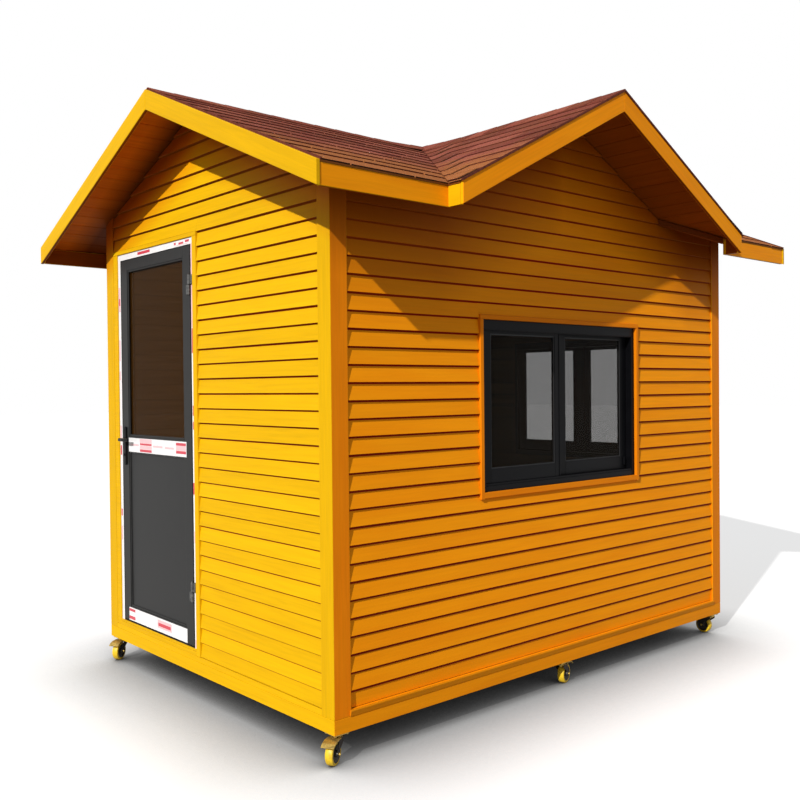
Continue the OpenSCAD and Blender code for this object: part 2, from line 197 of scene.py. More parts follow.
class Builder:
    """Gathers the solids of one piece. Each keeps its own grain and tone."""

    def __init__(self, place=None):
        self.place = place or Matrix.Identity(4)
        self.verts, self.faces, self.grain, self.tone, self.mats, self.smooth = ([] for _ in range(6))

    def put(self, bm, at=None, bevel=0.0, segments=1, cuts=(), mat=None, smooth=False):
        """Adds a solid at a frame, cut by (point, normal) planes, with its sharp edges bevelled."""
        at = at or Matrix.Identity(4)
        back = at.inverted()
        turn = back.to_3x3()
        for point, normal in cuts:
            if not bm.verts:
                break
            geom = bm.verts[:] + bm.edges[:] + bm.faces[:]
            bmesh.ops.bisect_plane(
                bm, geom=geom, dist=1e-6, plane_co=back @ Vector(point),
                plane_no=turn @ Vector(normal), clear_outer=True)
            open_edges = [e for e in bm.edges if e.is_boundary]
            if open_edges:
                bmesh.ops.holes_fill(bm, edges=open_edges, sides=0)
        if not bm.faces:
            bm.free()
            return
        if bevel:
            sharp = [e for e in bm.edges if len(e.link_faces) == 2 and e.calc_face_angle(0) > 0.35]
            bmesh.ops.bevel(
                bm, geom=sharp, offset=bevel, offset_type="OFFSET", segments=segments,
                profile=0.5, affect="EDGES", clamp_overlap=True)
        total = self.place @ at
        flip = total.determinant() < 0
        base = len(self.verts)
        shift = Vector([rnd.uniform(0, 40) for _ in range(3)])
        tone = rnd.random()
        bm.verts.index_update()
        for v in bm.verts:
            self.verts.append(total @ v.co)
            self.grain.append(v.co + shift)
            self.tone.append(tone)
        for f in bm.faces:
            ring = [base + v.index for v in f.verts]
            self.faces.append(ring[::-1] if flip else ring)
            self.mats.append(f.material_index if mat is None else mat)
            self.smooth.append(smooth)
        bm.free()

    def box(self, low, high, bevel=0.0, segments=1, at=None, mat=None):
        """A box between two corners."""
        self.put(plate(rect(*low[:2], *high[:2]), low[2], high[2]), at, bevel, segments, mat=mat)

    def round(self, profile, segments, at, mat=None):
        """A turned solid with smooth shading."""
        self.put(lathe(profile, segments), at, mat=mat, smooth=True)

    def finish(self, name, materials, slot, replaces=None, body="cabin"):
        mesh = bpy.data.meshes.new(name)
        mesh.from_pydata(self.verts, [], self.faces)
        mesh.attributes.new("grain", "FLOAT_VECTOR", "POINT").data.foreach_set(
            "vector", [c for v in self.grain for c in v])
        mesh.attributes.new("tone", "FLOAT", "POINT").data.foreach_set("value", self.tone)
        for m in materials:
            mesh.materials.append(m)
        mesh.polygons.foreach_set("material_index", self.mats)
        mesh.polygons.foreach_set("use_smooth", self.smooth)
        if any(self.smooth):
            mesh.set_sharp_from_angle(angle=math.radians(35))
        mesh.update()
        obj = link_object(name, mesh)
        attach(obj, body)
        if replaces:
            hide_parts(replaces)


# ---------------------------------------------------------------- materials

WHITE, BLACK = (1, 1, 1), (0, 0, 0)


class Nodes:
    """Short calls for building the nodes of a new material or of the world."""

    def __init__(self, name, world=None):
        self.mat = world or bpy.data.materials.new(name)
        self.mat.use_nodes = True
        self.tree = self.mat.node_tree
        self.bsdf = self.tree.nodes.get("Principled BSDF")

    def add(self, kind, **values):
        node = self.tree.nodes.new(kind)
        for key, value in values.items():
            if key in node.inputs.keys():
                node.inputs[key].default_value = value
            else:
                setattr(node, key, value)
        return node

    def feed(self, socket, value):
        """Sets a socket to a number or a colour, or links it to another node's output."""
        if isinstance(value, (int, float)):
            socket.default_value = value
        elif isinstance(value, tuple):
            socket.default_value = (*value, 1)
        else:
            self.tree.links.new(value, socket)

    def attribute(self, name, kind):
        return self.add("ShaderNodeAttribute", attribute_name=name).outputs[kind]

    def place(self):
        """Coordinates in the piece's own frame, in metres."""
        return self.add("ShaderNodeTexCoord").outputs["Object"]

    def axis(self, name, source=None):
        split = self.add("ShaderNodeSeparateXYZ")
        self.feed(split.inputs[0], source or self.place())
        return split.outputs[name]

    def mapped(self, scale, source=None):
        """Coordinates stretched by scale, along a solid's own grain by default."""
        node = self.add("ShaderNodeMapping", Scale=scale)
        self.feed(node.inputs["Vector"], source or self.attribute("grain", "Vector"))
        return node.outputs["Vector"]

    def noise(self, vector, scale, detail=4, rough=0.6, distortion=0):
        node = self.add(
            "ShaderNodeTexNoise", Scale=scale, Detail=detail, Roughness=rough, Distortion=distortion)
        self.feed(node.inputs["Vector"], vector)
        return node.outputs["Fac"]

    def math(self, kind, a, b=0.0, clamp=False):
        node = self.add("ShaderNodeMath", operation=kind, use_clamp=clamp)
        self.feed(node.inputs[0], a)
        self.feed(node.inputs[1], b)
        return node.outputs[0]

    def spread(self, value, low, high):
        """Maps a 0 to 1 value to the range low to high."""
        return self.math("ADD", self.math("MULTIPLY", value, high - low), low)

    def ramp(self, fac, *stops):
        node = self.add("ShaderNodeValToRGB")
        while len(node.color_ramp.elements) < len(stops):
            node.color_ramp.elements.new(0.5)
        for element, (place, colour) in zip(node.color_ramp.elements, stops):
            element.position = place
            element.color = (*colour, 1)
        self.feed(node.inputs["Fac"], fac)
        return node.outputs["Color"]

    def mix(self, fac, a, b, kind="MIX"):
        node = self.add("ShaderNodeMix", data_type="RGBA", blend_type=kind)
        for index, value in ((0, fac), (6, a), (7, b)):
            self.feed(node.inputs[index], value)
        return node.outputs[2]

    def look(self, colour, rough, metallic=0.0, specular=0.5):
        for name, value in (("Base Color", colour), ("Roughness", rough), ("Metallic", metallic),
                            ("Specular IOR Level", specular)):
            self.feed(self.bsdf.inputs[name], value)

    def toned(self, base, least):
        """The colour, dimmed to between least and 1 by each solid's own tone."""
        return self.mix(1.0, base, self.spread(self.attribute("tone", "Fac"), least, 1.0), "MULTIPLY")

    def bump(self, height, strength, distance):
        node = self.add("ShaderNodeBump", Strength=strength, Distance=distance)
        self.feed(node.inputs["Height"], height)
        self.feed(self.bsdf.inputs["Normal"], node.outputs["Normal"])


def scaled(colour, k):
    return tuple(min(1.0, c * k) for c in colour)


def below_roof(n, axis, slope, floor_z):
    """Metres below a sloping roof edge, or below floor_z where that is higher."""
    sideways = n.math("MULTIPLY", n.math("ABSOLUTE", n.axis(axis)), slope)
    roof = n.math("MAXIMUM", n.math("SUBTRACT", UNDER, sideways), floor_z)
    return n.math("SUBTRACT", roof, n.axis("Z"))


def below_eaves(n):
    """below_roof for the side walls, where the painted shade band is narrower under the rear half of the gable.
    """
    y = n.axis("Y")
    rising = n.math("MULTIPLY", n.math("ADD", y, 0.1), 2.5, clamp=True)
    falling = n.math("MULTIPLY", n.math("SUBTRACT", 1.2, y), 3.0, clamp=True)
    shift = n.math("MULTIPLY", n.math("MULTIPLY", rising, falling), 0.2)
    return n.math("ADD", below_roof(n, "Y", CROSS_SLOPE, EAVE_Z), shift)


def from_wall(n):
    """Metres out from the end walls."""
    return n.math("SUBTRACT", n.math("ABSOLUTE", n.axis("Y")), HALF_L)


def painted_wood(name, colour, streak=0.12, tones=0.10, patch=(0.95, 0.93, 0.9), depth=None, painted_shade_layers=()):
    """Timber under translucent stain. painted_shade_layers are (colour, near, far), each a painted shade fading
    out over a depth.
    """
    n = Nodes(name)
    fibres = n.noise(n.mapped((3.0, 70.0, 70.0)), 1.0, 6, 0.65, 0.4)
    broad = n.noise(n.mapped((1.2, 9.0, 9.0)), 1.0, 3, 0.5, 0.6)
    base = n.ramp(fibres, (0.28, scaled(colour, 1 - streak)), (0.62, colour))
    measured = depth(n) if depth else None
    for shade, near, far in painted_shade_layers:
        base = n.mix(n.ramp(measured, (near, WHITE), (far, BLACK)), base, shade)
    base = n.mix(1.0, base, n.ramp(broad, (0.3, patch), (0.6, WHITE)), "MULTIPLY")
    n.look(n.toned(base, 1 - tones), n.spread(fibres, 0.42, 0.6), 0.0, 0.06)
    n.bump(fibres, 0.25, 0.0012)
    return n.mat


def plain_wood(name, dark, light, rough=0.7):
    """Bare or lightly oiled timber, and the dark cut edge of felt, which also stands in as painted shadow."""
    n = Nodes(name)
    fibres = n.noise(n.mapped((2.0, 55.0, 55.0)), 1.0, 6, 0.65, 0.5)
    n.look(n.toned(n.ramp(fibres, (0.3, dark), (0.65, light)), 0.75), rough, 0.0, 0.06)
    n.bump(fibres, 0.3, 0.001)
    return n.mat


def lining_wood(name, dark, light):
    """Boarded lining on a flat CAD face: grooves every 90 mm up the wall."""
    n = Nodes(name)
    place = n.place()
    row = n.math("DIVIDE", n.axis("Z", place), 0.09)
    groove = n.math("LESS_THAN", n.math("FRACT", row), 0.05)
    varied = n.add("ShaderNodeTexWhiteNoise", noise_dimensions="1D")
    n.feed(varied.inputs["W"], n.math("FLOOR", row))
    level = n.math("MULTIPLY", n.spread(varied.outputs["Value"], 0.8, 1.0), n.spread(groove, 1.0, 0.35))
    fibres = n.noise(n.mapped((3.0, 3.0, 60.0), place), 1.0, 5, 0.6, 0.4)
    n.look(n.mix(1.0, n.ramp(fibres, (0.3, dark), (0.65, light)), level, "MULTIPLY"), 0.6, 0.0, 0.06)
    n.bump(n.math("SUBTRACT", 1.0, groove), 0.5, 0.004)
    return n.mat


def shingle(name):
    """Mineral felt: coloured granules, blotches, a paler eave, and a different tone for each tab."""
    n = Nodes(name)
    place = n.place()
    grit = n.noise(place, 420.0, 3, 0.8)
    blotch = n.noise(place, 9.0, 4, 0.6)
    base = n.ramp(n.attribute("tone", "Fac"), (0.0, (0.15, 0.035, 0.026)), (0.55, (0.235, 0.058, 0.042)),
                  (1.0, (0.32, 0.092, 0.066)))
    base = n.mix(n.ramp(blotch, (0.35, BLACK), (0.7, (0.6, 0.6, 0.6))), base, (0.20, 0.075, 0.03))
    above_eave = n.math("SUBTRACT", n.axis("Z", place), EAVE_Z - 0.1)
    height = n.math("SUBTRACT", above_eave, n.math("MULTIPLY", blotch, 0.2))
    base = n.mix(n.ramp(height, (0.0, (0.75, 0.75, 0.75)), (0.16, BLACK)), base, (0.40, 0.15, 0.045))
    specks = n.ramp(grit, (0.36, (0.45, 0.42, 0.42)), (0.5, (0.95, 0.95, 0.95)), (0.66, (1.6, 1.5, 1.45)))
    n.look(n.mix(1.0, base, specks, "MULTIPLY"), 0.92, 0.0, 0.05)
    n.bump(grit, 0.6, 0.0015)
    return n.mat


def coated_metal(name, colour, rough, specular):
    """Powder-coated or painted metal with faint unevenness and dust."""
    n = Nodes(name)
    place = n.place()
    dust = n.noise(place, 14.0, 5, 0.65)
    mottled = n.ramp(dust, (0.3, scaled(colour, 0.85)), (0.7, scaled(colour, 1.15)))
    n.look(mottled, n.spread(dust, rough - 0.06, rough + 0.1), 0.0, specular)
    n.bump(n.noise(place, 900.0, 2, 0.5), 0.08, 0.0003)
    return n.mat


def bare_metal(name, colour, rough, tarnish=(0.12, 0.09, 0.05), amount=0.5):
    """Plated steel with tarnish gathered in blotches."""
    n = Nodes(name)
    stain = n.noise(n.place(), 60.0, 6, 0.7)
    mask = n.ramp(stain, (0.42, BLACK), (0.72, (amount, amount, amount)))
    n.look(n.mix(mask, colour, tarnish), n.spread(stain, rough - 0.1, rough + 0.25), 0.85)
    n.bump(stain, 0.15, 0.0006)
    return n.mat


def film(name, colour):
    """Thin plastic film, a little creased."""
    n = Nodes(name)
    crease = n.noise(n.place(), 45.0, 4, 0.6, 1.2)
    n.look(n.ramp(crease, (0.3, scaled(colour, 0.9)), (0.6, colour)), 0.32)
    n.bump(crease, 0.25, 0.0015)
    return n.mat


def rubbery(name, colour, rough=0.45, dirt=(0.12, 0.08, 0.03)):
    """Rubber or plastic with grime in blotches."""
    n = Nodes(name)
    grime = n.noise(n.place(), 55.0, 5, 0.65)
    mask = n.ramp(grime, (0.5, BLACK), (0.78, (0.5, 0.5, 0.5)))
    n.look(n.mix(mask, colour, dirt), rough, 0.0, 0.4)
    n.bump(grime, 0.15, 0.0008)
    return n.mat


def glazing(name, tint, solid):
    """A dark-tinted pane: partly see-through, with a faint clean reflection."""
    n = Nodes(name)
    n.look(tint, 0.03, 0.0, 0.05)
    n.feed(n.bsdf.inputs["Alpha"], solid)
    return n.mat


# One stain drawn as two copies with painted light: a yellower one as it shows in full sun for the end walls'
# pieces, and a redder one as it shows in grazing light for the side walls' pieces.
SUNLIT_STAIN_COLOUR, GRAZING_STAIN_COLOUR = (0.83, 0.465, 0.003), (1.0, 0.342, 0.003)
UNEVEN = (0.96, 0.88, 0.8)
sunlit_stain = painted_wood("sunlit_stain", SUNLIT_STAIN_COLOUR)
# The end walls darken towards the roof as painted shade below the rakes.
sunlit_wall = painted_wood(
    "sunlit_wall", SUNLIT_STAIN_COLOUR, depth=lambda n: below_roof(n, "X", MAIN_SLOPE, 0.0),
    painted_shade_layers=[((0.68, 0.17, 0.002), 0.12, 0.37), ((0.34, 0.066, 0.002), 0.05, 0.20)])
# Painted shadow for the laps: the boards' lower edges, the strip left showing below each next board and the end
# corner boards' inner edges, redder near the roof.
lap_painted_shadow = painted_wood(
    "lap_painted_shadow", (0.38, 0.018, 0.001), 0.2, 0.2, depth=lambda n: below_roof(n, "Y", CROSS_SLOPE, EAVE_Z),
    painted_shade_layers=[((0.30, 0.07, 0.001), 0.10, 0.70)])
grazing_stain = painted_wood("grazing_stain", GRAZING_STAIN_COLOUR, 0.12, 0.08, UNEVEN)
# The side ledges take a darker copy of the stain as painted shade.
ledge_painted_shade = painted_wood("ledge_painted_shade", (0.72, 0.25, 0.003), 0.12, 0.08, UNEVEN)
# The side walls and side corner boards darken towards the eaves as painted shade.
grazing_wall = painted_wood(
    "grazing_wall", GRAZING_STAIN_COLOUR, 0.09, 0.07, UNEVEN, below_eaves, [((0.31, 0.062, 0.001), 0.12, 0.66)])
grazing_corner = painted_wood(
    "grazing_corner", (0.92, 0.26, 0.003), 0.12, 0.08, UNEVEN, below_eaves, [((0.22, 0.04, 0.001), 0.05, 0.5)])
# The soffits and valley rafters take a darker, redder copy of the stain as painted shade, darker still towards
# the end walls.
soffit_painted_shade = painted_wood(
    "soffit_painted_shade", (0.62, 0.15, 0.004), 0.2, 0.10, UNEVEN, from_wall, [((0.16, 0.035, 0.002), 0.0, 0.14)])
# A deeper painted shade for the right soffits, the barges' lower edges and the fascias' inner and lower faces.
soffit_deep_painted_shade = painted_wood("soffit_deep_painted_shade", (0.27, 0.06, 0.003), 0.2, 0.12)
deck_edge = plain_wood("deck_edge", (0.22, 0.07, 0.015), (0.42, 0.16, 0.04))
floor_wood = plain_wood("floor_wood", (0.25, 0.13, 0.05), (0.45, 0.26, 0.11), 0.5)
frame_wood = lining_wood("frame_wood", (0.20, 0.12, 0.06), (0.36, 0.24, 0.13))
lining = lining_wood("lining", (0.10, 0.045, 0.016), (0.19, 0.09, 0.035))
felt = shingle("felt")
# Dark felt for the shingles' butts, the first course, the rake strip and the sheets under the valley patches:
# partly the felt's own dark edge, partly painted shadow.
felt_edge_and_shadow = plain_wood("felt_edge_and_shadow", (0.016, 0.006, 0.004), (0.04, 0.014, 0.009), 0.9)
felt_butt_and_shade = plain_wood("felt_butt_and_shade", (0.10, 0.028, 0.018), (0.18, 0.05, 0.033), 0.9)
door_metal = coated_metal("door_metal", (0.0215, 0.0215, 0.0215), 0.42, 0.12)
window_metal = coated_metal("window_metal", (0.0035, 0.0036, 0.0045), 0.34, 0.07)
seal = rubbery("seal", (0.008, 0.008, 0.009), 0.6, (0.02, 0.018, 0.015))
black_metal = coated_metal("black_metal", (0.004, 0.004, 0.0045), 0.34, 0.08)
hinge_metal = bare_metal("hinge_metal", (0.55, 0.54, 0.50), 0.38)
hinge_dark = bare_metal("hinge_dark", (0.15, 0.15, 0.145), 0.32, (0.012, 0.011, 0.01), 0.9)
caster_metal = bare_metal("caster_metal", (0.62, 0.43, 0.11), 0.42, (0.06, 0.045, 0.02), 0.8)
# The caster forks' legs are drawn dark as painted shade.
fork_metal_painted_shade = bare_metal("fork_metal_painted_shade", (0.06, 0.05, 0.045), 0.55, (0.02, 0.015, 0.01), 0.7)
tread = rubbery("tread", (0.85, 0.56, 0.02))
core = rubbery("core", (0.035, 0.028, 0.022), 0.55, (0.02, 0.015, 0.01))
white_film = film("white_film", (0.86, 0.85, 0.86))
red_film = film("red_film", (0.62, 0.03, 0.06))
pale_red_film = film("pale_red_film", (0.85, 0.52, 0.55))
window_glass = glazing("window_glass", (0.010, 0.007, 0.004), 0.38)
door_glass = glazing("door_glass", (0.07, 0.027, 0.003), 0.30)

# The CAD nodes that show as they are
for material, nodes in (
        (lining, "front_wall_left front_wall_right front_gable rear_wall right_wall left_wall"),
        (frame_wood, "floor_beams floor_joists"), (door_glass, "door_glass"),
        (window_glass, "window_glass_right window_glass_rear")):
    for node in nodes.split():
        shown = frame["nodes"][node].data.materials
        shown.clear()
        shown.append(material)

# ---------------------------------------------------------------- walls

SIDING_GAP, HOLE_GAP, LAP = 0.008, 0.0015, 0.010
THICK_FACE, THIN_FACE = -0.0026, -0.0166  # a lap board's lower and upper edge, from the corner boards' face


def roof_cuts(main=True, gap=0.0):
    """Planes along the underside of the deck or a gap below it, as (point, normal) pairs."""
    peak = (0, 0, UNDER - gap)
    return [(peak, (s * MAIN_SLOPE, 0, 1) if main else (0, s * CROSS_SLOPE, 1)) for s in (1, -1)]


def lap_board(builder, at, x0, x1, low, step, cuts, starter, shade):
    """One tapered board whose thick lower edge covers the top part of the board below, painted darker as shade.

    shade is the height of the painted shadow strip that shows below the next board; the lower edge faces
    carry the same painted shadow. A starter, the lowest board, sits back behind the ledge.
    """
    low += rnd.uniform(-0.0006, 0.0006)
    out = THICK_FACE + rnd.uniform(-0.0004, 0.0004)
    shade_from = low + step - shade
    top = low + step + LAP
    section = [
        (low, -0.0164), (low, out - 0.0016), (low + 0.0012, out),
        (shade_from, out - (out - THIN_FACE) * (shade_from - low) / (step + LAP)),
        (top, THIN_FACE), (top, -BOARD_T), (low + LAP, -BOARD_T),
    ]
    if starter:
        section[1:3] = [(low, -0.0157), (low + 0.001, -0.0150)]
    twist = Matrix.Rotation(rnd.uniform(-0.0003, 0.0003), 4, "Z")
    builder.put(bar(section, x0, x1, [1, 1, 0, 1, 0, 0, 1]), at @ twist, cuts=cuts)


def siding(builder, at, reach, low, step, hole, cuts, flat=None, shade=(0.007, 0.007)):
    """Rows of lap boards as far as reach on both sides, round one hole (x0, x1, low, high).

    flat is the height of the eaves and half the width of the gable above them. shade is the height
    of the painted shadow strip in the lowest and in the highest row.
    """
    row = low
    while row < UNDER:
        high = row + step
        boards = [(-reach, reach, cuts)]
        if hole and hole[2] < high and hole[3] > row:
            left, right = hole[0] - HOLE_GAP, hole[1] + HOLE_GAP
            boards = [(a, b, cuts) for a, b in ((-reach, left), (right, reach)) if b - a > 0.01]
            for edge, up, needed in ((hole[2] - HOLE_GAP, 1, row < hole[2]),
                                     (hole[3] + HOLE_GAP, -1, high > hole[3])):
                if needed:
                    cut = (at @ Vector((0, edge, 0)), at.to_3x3() @ Vector((0, up, 0)))
                    boards.append((left, right, cuts + [cut]))
        elif flat and high + 0.011 <= flat[0]:
            boards = [(-reach, reach, [])]
        elif flat and row < flat[0]:
            eave, edge = flat
            under = [((0, 0, eave), (0, 0, 1))]
            boards = [(-reach, -edge, under), (edge, reach, under), (-edge, edge, cuts)]
        strip = shade[0] + (shade[1] - shade[0]) * (row - low) / (UNDER - low)
        for x0, x1, planes in boards:
            lap_board(builder, at, x0, x1, row, step, planes, flat and row == low, strip)
        row = high


front_at, rear_at, right_at = facing(FRONT, HALF_L), facing(REAR, HALF_L), facing(RIGHT, HALF_W)

rear_trim_low, rear_trim_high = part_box("window_casing_rear")
door_hole = (-END_REACH - 0.1, door_trim_high.x, 0.0, door_trim_high.z)
rear_hole = (-rear_trim_high.x, -rear_trim_low.x, trim_low.z, trim_high.z)
for side, at, hole in (("front", front_at, door_hole), ("rear", rear_at, rear_hole)):
    walls = Builder()
    siding(walls, at, END_REACH, FRONT_LAP, FRONT_STEP, hole, roof_cuts(gap=SIDING_GAP))
    walls.finish("siding_" + side, [sunlit_wall, lap_painted_shadow], "yellow_timber")

side_eave = EAVE_Z - SIDING_GAP
gable_half = (UNDER - SIDING_GAP - side_eave) / CROSS_SLOPE
window_hole = (trim_low.y, trim_high.y, trim_low.z, trim_high.z)
for side, place, hole in (("right", None, window_hole), ("left", MIRROR_X, None)):
    walls = Builder(place)
    siding(walls, right_at, SIDE_REACH, SIDE_LAP, SIDE_STEP, hole, roof_cuts(False, SIDING_GAP),
           (side_eave, gable_half), (0.012, 0.004))
    walls.finish("siding_" + side, [grazing_wall, lap_painted_shadow], "yellow_timber")

# Corner boards: the end face and the long face are separate boards, mitred at the corner
outer_corner, inner_corner = (HALF_W, HALF_L), (HALF_W - BOARD_T, HALF_L - BOARD_T)
end_board = [outer_corner, (END_REACH, HALF_L), (END_REACH, HALF_L - BOARD_T), inner_corner]
long_board = [outer_corner, inner_corner, (HALF_W - BOARD_T, SIDE_REACH), (HALF_W, SIDE_REACH)]
corners = Builder()
for sx, sy in QUADRANTS:
    at = Matrix.Diagonal((sx, sy, 1, 1)) @ Matrix.Rotation(-math.pi / 2, 4, "Y")
    # The end board's inner edge takes the laps' painted shadow.
    for outline, mats in ((end_board, [0, 2, 0, 0]), (long_board, [1, 1, 1, 1])):
        upright = bar([(y, -x) for x, y in outline], CORNER_LOW, UNDER, mats)
        corners.put(upright, at, 0.0016, 2, roof_cuts())
corners.finish("corner_trim", [sunlit_wall, grazing_corner, lap_painted_shadow], "yellow_timber", "corner_boards")

# Skirts: plain across the ends, with a drip ledge along the sides. The ends take the sunlit copy of the stain,
# the sides the grazing-lit one and the ledge its painted shade copy.
skirts = Builder()
mitres = [((x * HALF_W, y * HALF_L, 0), (x, -y, 0)) for x, y in QUADRANTS]
lower = rect(SKIRT_LOW, -BOARD_T, CORNER_LOW - 0.0008, 0)
upper = rect(CORNER_LOW, -BOARD_T, SKIRT_TOP, 0)
ledge = [
    (CORNER_LOW, 0.0), (CORNER_LOW, 0.003), (SKIRT_TOP - 0.006, LEDGE_OUT),
    (SKIRT_TOP - 0.003, LEDGE_OUT), (SKIRT_TOP, LEDGE_OUT - 0.003), (SKIRT_TOP, 0.0)]
for at, end in ((front_at, -1), (rear_at, 1)):
    skirts.put(bar(lower, -HALF_W, HALF_W), at, 0.0016, 2, [m for m in mitres if m[0][1] * end > 0])
    skirts.put(bar(upper, -END_REACH, END_REACH), at, 0.0012)
for side in (1, -1):
    at = Matrix.Diagonal((side, 1, 1, 1)) @ right_at
    cuts = [(point, (-normal[0], -normal[1], 0)) for point, normal in mitres if point[0] * side > 0]
    skirts.put(bar(lower, -HALF_L, HALF_L), at, 0.0016, 2, cuts, 1)
    skirts.put(bar(ledge, -SIDE_REACH - 0.006, SIDE_REACH + 0.006), at, mat=2)
    skirts.put(bar(upper, -SIDE_REACH, SIDE_REACH), at, mat=1)
skirts.finish("skirts", [sunlit_stain, grazing_stain, ledge_painted_shade], "yellow_timber", "skirt_boards")

PLANKS, PLANK_GAP = 18, 0.0008
planks = Builder()
floor_low, floor_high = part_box("floor_boards")
pitch = 2 * INNER_X / PLANKS
for i in range(PLANKS):
    low = -INNER_X + i * pitch
    section = rect(low + PLANK_GAP, floor_low.z, low + pitch - PLANK_GAP, floor_high.z)
    planks.put(bar(section, -INNER_Y, INNER_Y), QUARTER_Z @ MIRROR_Y, 0.0012)
planks.box((door_low.x, floor_low.y, floor_low.z), (door_high.x, -INNER_Y, floor_high.z), 0.001)
planks.finish("floor_planks", [floor_wood], "floor_timber", "floor_boards")

# ---------------------------------------------------------------- roof

BOARD_TOP, BOARD_PITCH = 0.009, 0.098
SHINGLE_T = 0.008
TAB_STEP, TAB_W = 0.143, 0.333
CROSS_OVER = BARGE_T + 0.003
CAP_HALF, CAP_T = 0.135, 0.004

END_NAMES, SIDE_NAMES = {-1: "front", 1: "rear"}, {1: "right", -1: "left"}
SLOPES = [(True, sx, sy, END_NAMES[sy] + "_" + SIDE_NAMES[sx]) for sy in (-1, 1) for sx in (1, -1)]
SLOPES += [(False, sx, sy, SIDE_NAMES[sx] + "_" + END_NAMES[sy]) for sx in (1, -1) for sy in (-1, 1)]

# Deck boards and shingles. In a slope's frame x runs along the ridge, y up to the ridge line, z outwards
for main, sx, sy, part in SLOPES:
    downhill = Vector((sx, 0, 0)) if main else Vector((0, sy, 0))
    slope, half, run = (MAIN_SLOPE, MAIN_HALF, MAIN_RUN) if main else (CROSS_SLOPE, CROSS_HALF, CROSS_RUN)
    hand = sx * sy if main else -sx * sy  # the end of its own x axis where the gable lies
    steep = math.hypot(1, slope)
    length = (half + 0.001) * steep
    over_valley = Vector((sx * VALLEY, -sy, 0)).normalized() * (1 if main else -1)
    ridge_plane, valley = ((0, 0, 0), -downhill), ((0, 0, 0), over_valley)

    deck = Builder()
    at = turned(downhill * slope + UP, UP * UNDER)
    y = -length
    while y < 0.01:
        top = min(y + BOARD_PITCH, 0.02)
        section = [
            (y + 0.003, 0.0), (top - 0.003, 0.0), (top - 0.0004, 0.0026),
            (top - 0.0004, BOARD_TOP), (y + 0.0004, BOARD_TOP), (y + 0.0004, 0.0026)]
        mats = [0, 0, 0, 0, 1, 1] if y == -length else None
        deck.put(bar(section, *sorted((0, hand * run)), mats), at, cuts=[ridge_plane, valley])
        y += BOARD_PITCH
    # The right slopes' soffits take the deeper painted shade.
    underside = soffit_deep_painted_shade if sx > 0 else soffit_painted_shade
    deck.finish("deck_" + part, [underside, deck_edge], "roof_shingle", "roof_" + part)

    sheet = Builder()
    at = turned(downhill * slope + UP, UP * (UNDER + BOARD_TOP * steep))
    rake = hand * (run if main else run + CROSS_OVER)
    edge0, edge1 = sorted((0, rake))
    eave = -length - 0.006 * steep
    butt = eave
    course = 0
    while butt < -0.02:
        offset = (course % 2) * TAB_W / 2 + rnd.uniform(-0.01, 0.01)
        top = min(butt + TAB_STEP + 0.028, 0.0)
        x = math.floor(edge0 / TAB_W) * TAB_W - offset
        while x < edge1:
            a, b = max(edge0, x + 0.003), min(edge1, x + TAB_W - 0.003)
            x += TAB_W
            if b - a < 0.01:
                continue
            drop = rnd.uniform(-0.0022, 0.0022)
            lift = rnd.uniform(-0.0004, 0.0006)
            under, over = (0.0030, SHINGLE_T + lift) if course else (0.0, 0.0050 + lift)
            section = [(butt + drop, under), (butt + drop, over), (top, 0.0026), (top, 0.0)]
            ragged = (over_valley * -rnd.uniform(-0.003, 0.005), over_valley)
            sheet.put(bar(section, a, b, [2 if course else 1, 0, 0, 0]), at, cuts=[ridge_plane, ragged])
        if not main:
            # The main roof's courses run on over the valley, by a different amount each time, each on a dark
            # felt sheet that juts out at its ends as painted shadow.
            side = hand * -butt / steep / VALLEY
            ends = sorted((side + hand * rnd.uniform(0.0, 0.09), side - hand * 0.16))
            for grow, shut, mats, mat in ((0.013, 0.0085, None, 1), (0.0, 0.0120, [2, 0, 0, 0], None)):
                lapped = [(butt + 0.02, 0.006), (butt + 0.02, shut), (top, shut - 0.005), (top, 0.003)]
                patch = bar(lapped, ends[0] - grow, ends[1] + grow, mats)
                sheet.put(patch, at, cuts=[ridge_plane, valley], mat=mat)
        butt += TAB_STEP
        course += 1
    # A dark felt strip along the rake, as painted shadow.
    strip = rect(eave, 0.0, 0.0, SHINGLE_T + 0.0015)
    proud = 0.0015 * hand
    sheet.put(bar(strip, *sorted((rake - 3 * proud, rake + proud))), at, cuts=[ridge_plane], mat=2)
    sheet.finish("shingles_" + part, [felt, felt_edge_and_shadow, felt_butt_and_shade], "roof_shingle")


def ridge_caps(builder, out, run, slope):
    """Bent caps over a ridge, each lapping the next from the gable inwards."""
    steep = math.hypot(1, slope)
    top = UNDER + (BOARD_TOP + 0.0058) * steep
    side = out.cross(UP)
    x = run
    while x > 0.0:
        inner = max(0.0, x - TAB_STEP - 0.04)
        width = CAP_HALF / steep + rnd.uniform(-0.004, 0.004)
        bm = bmesh.new()
        ends = []
        for at_x, lift in ((x, 0.0022), (inner, 0.0)):
            lift += 0.014 * max(0.0, 1 - at_x / 0.26)
            middle = out * at_x + UP * (top + lift)
            ends.append([
                bm.verts.new(middle + side * (s * width) + UP * (level - s * s * width * slope))
                for level in (0.0, CAP_T * steep) for s in (-1, 0, 1)])
        order = [0, 1, 2, 5, 4, 3]
        for i, j in zip(order, order[1:] + order[:1]):
            bm.faces.new((ends[0][i], ends[0][j], ends[1][j], ends[1][i]))
        for end in ends:
            bm.faces.new((end[0], end[1], end[4], end[3]))
            bm.faces.new((end[1], end[2], end[5], end[4]))
        bmesh.ops.recalc_face_normals(bm, faces=bm.faces[:])
        builder.put(bm)
        x -= TAB_STEP


caps = Builder()
for out in SIDES.values():
    ridge_caps(caps, out, *((MAIN_RUN + 0.004, MAIN_SLOPE) if out.y else (CROSS_RUN + CROSS_OVER, CROSS_SLOPE)))
caps.finish("ridge_caps", [felt], "roof_shingle")

